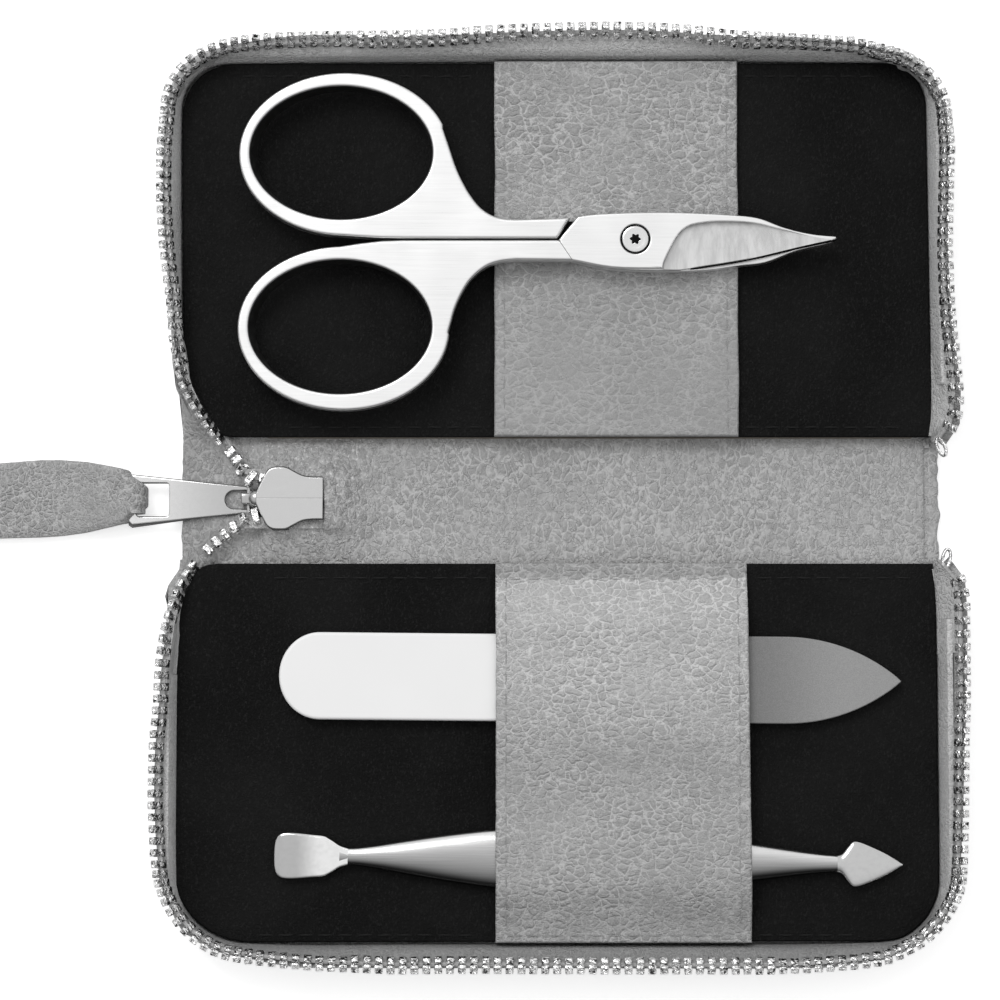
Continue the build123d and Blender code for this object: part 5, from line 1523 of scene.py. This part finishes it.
def strap_point(u, v, upper):
    """A place of a ply, u along it and v across: x, y, and the heights of its top and bottom."""
    end = -60.3 - 2.6 * ease(abs(v), 0.34, 1.0)
    x = STRAP_LEFT + u * (end - STRAP_LEFT)
    base = max(STRAP_LEFT, min(STRAP_RIGHT, x))
    y1, y0 = along(STRAP_TOP_EDGE, base), along(STRAP_LOW_EDGE, base)
    y = (y0 + y1) / 2 + v * (y1 - y0) / 2
    z = strap_height(x)
    z += 0.07 * wave(x, y, 2.1, 41) + 0.05 * wave(x, y, 0.9, 42)
    z += 0.22 * ease(x, -68, -63) * wave(x * 0.5, y, 1.4, 43)
    z -= 0.28 * ease(abs(v), 0.86, 1.0) + 1.1 * ease(x, end - 1.3, end + 0.1) ** 2
    if upper:
        return x, y, z, z - 0.98
    floor = 0.0 if x < -70 else max(0, z - 2.0 - 1.35 * ease(x, -66.5, -62.5))
    return x, y, z - 1.0, max(0.02, floor)


def strap_ply(name, upper):
    us = np.concatenate([np.linspace(0, 0.12, 12), np.linspace(0.14, 1, 90)])
    places = [[strap_point(u, v, upper) for v in np.linspace(-1, 1, 34)] for u in us]
    top, low = [[[(*place[:2], place[i]) for place in row] for row in places] for i in (2, 3)]
    return two_sided(name, top, low, strap_look, "pull_strap", ("pull_strap",), 50)


strap_ply("strap_upper_ply", True)
strap_ply("strap_lower_ply", False)


def fold_arc(radius, height, angles):
    """Part of the strap's fold round the pull's end bar, in X and Z."""
    return [(-62.4 + radius * math.cos(a), 2.45 + height * math.sin(a)) for a in angles]


half_turn = np.linspace(-math.pi / 2, math.pi / 2, 14)
arcs = fold_arc(1.9, 1.9 * 0.98, half_turn) + fold_arc(0.95, 0.95, half_turn[::-1])
fold = [[(x, y, z) for x, z in arcs] for y in np.linspace(-1.55, 2.55, 18)]
skin("strap_fold", fold, strap_look, "pull_strap", ("pull_strap",), angle=50)


# ---------------------------------------------------------------- table
TABLE_HALF = 1.2


def table_look():
    """White, and a little brighter to the camera than its light alone."""
    look = Look("table_white", 0.9, 0, 0.1)
    look.set("Base Color", look.mix(look.noise(0.05), grey(0.86), grey(0.90)))
    look.set("Emission Color", (1, 1, 1))
    ray = look.add("ShaderNodeLightPath")
    look.set("Emission Strength", look.times(ray.outputs["Is Camera Ray"], 0.55))
    return look.mat


corners = [(x * TABLE_HALF, y * TABLE_HALF, 0) for x, y in ((-1, -1), (1, -1), (1, 1), (-1, 1))]
table_mesh = bpy.data.meshes.new("table")
table_mesh.from_pydata(corners, [], [(0, 1, 2, 3)])
floor = bpy.data.objects.new("table", table_mesh)
scene.collection.objects.link(floor)
floor.data.materials.append(table_look())


# ---------------------------------------------------------------- light
# A soft sky, brighter overhead and up the case, which the camera sees as plain white.
world = bpy.data.worlds.new("soft_light")
scene.world = world
world.use_nodes = True
world.node_tree.nodes.clear()
sky = Nodes(world.node_tree)
coord = sky.add("ShaderNodeTexCoord")
split = sky.fill(sky.add("ShaderNodeSeparateXYZ"), coord.outputs["Generated"])
lean = sky.add("ShaderNodeMath", operation="MULTIPLY_ADD")
sky.fill(lean, split.outputs["Y"], 0.45, split.outputs["Z"])
ramp = sky.add("ShaderNodeMapRange", interpolation_type="SMOOTHSTEP")
limits = {"From Min": 0.05, "From Max": 0.85, "To Min": 0.16, "To Max": 1.08}
sky.fill(ramp, Value=lean.outputs[0], **limits)
path = sky.add("ShaderNodeLightPath")
shade = sky.fill(sky.add("ShaderNodeBackground"), Strength=ramp.outputs["Result"])
white = sky.fill(sky.add("ShaderNodeBackground"), Strength=1.0)
blend = sky.add("ShaderNodeMixShader")
sky.fill(blend, path.outputs["Is Camera Ray"], shade.outputs[0], white.outputs[0])
sky.fill(sky.add("ShaderNodeOutputWorld"), blend.outputs[0])

KEY_PLACE = Vector((-0.30, 0.45, 0.70))
key = bpy.data.lights.new("key", "AREA")
key.size = 0.35
key.energy = 2.2
key_light = bpy.data.objects.new("key", key)
key_light.location = KEY_PLACE
key_light.rotation_euler = (-KEY_PLACE).to_track_quat("-Z", "Y").to_euler()
scene.collection.objects.link(key_light)


# ---------------------------------------------------------------- camera
TILT = math.radians(4.5)
DISTANCE = 0.55
AIM = Vector((-0.00875, 0.00044, 0.003))
SENSOR = 36
PICTURE = 1000 / 6856  # metres that the picture spans at AIM: 1000 pixels at 6856 a metre
cam = bpy.data.cameras.new("camera")
cam.sensor_width = SENSOR
cam.lens = SENSOR * DISTANCE / PICTURE
camera = bpy.data.objects.new("camera", cam)
scene.collection.objects.link(camera)
camera.location = AIM + DISTANCE * Vector((0, -math.sin(TILT), math.cos(TILT)))
camera.rotation_euler = (TILT, 0, 0)
scene.camera = camera
scene.view_settings.view_transform = "Standard"
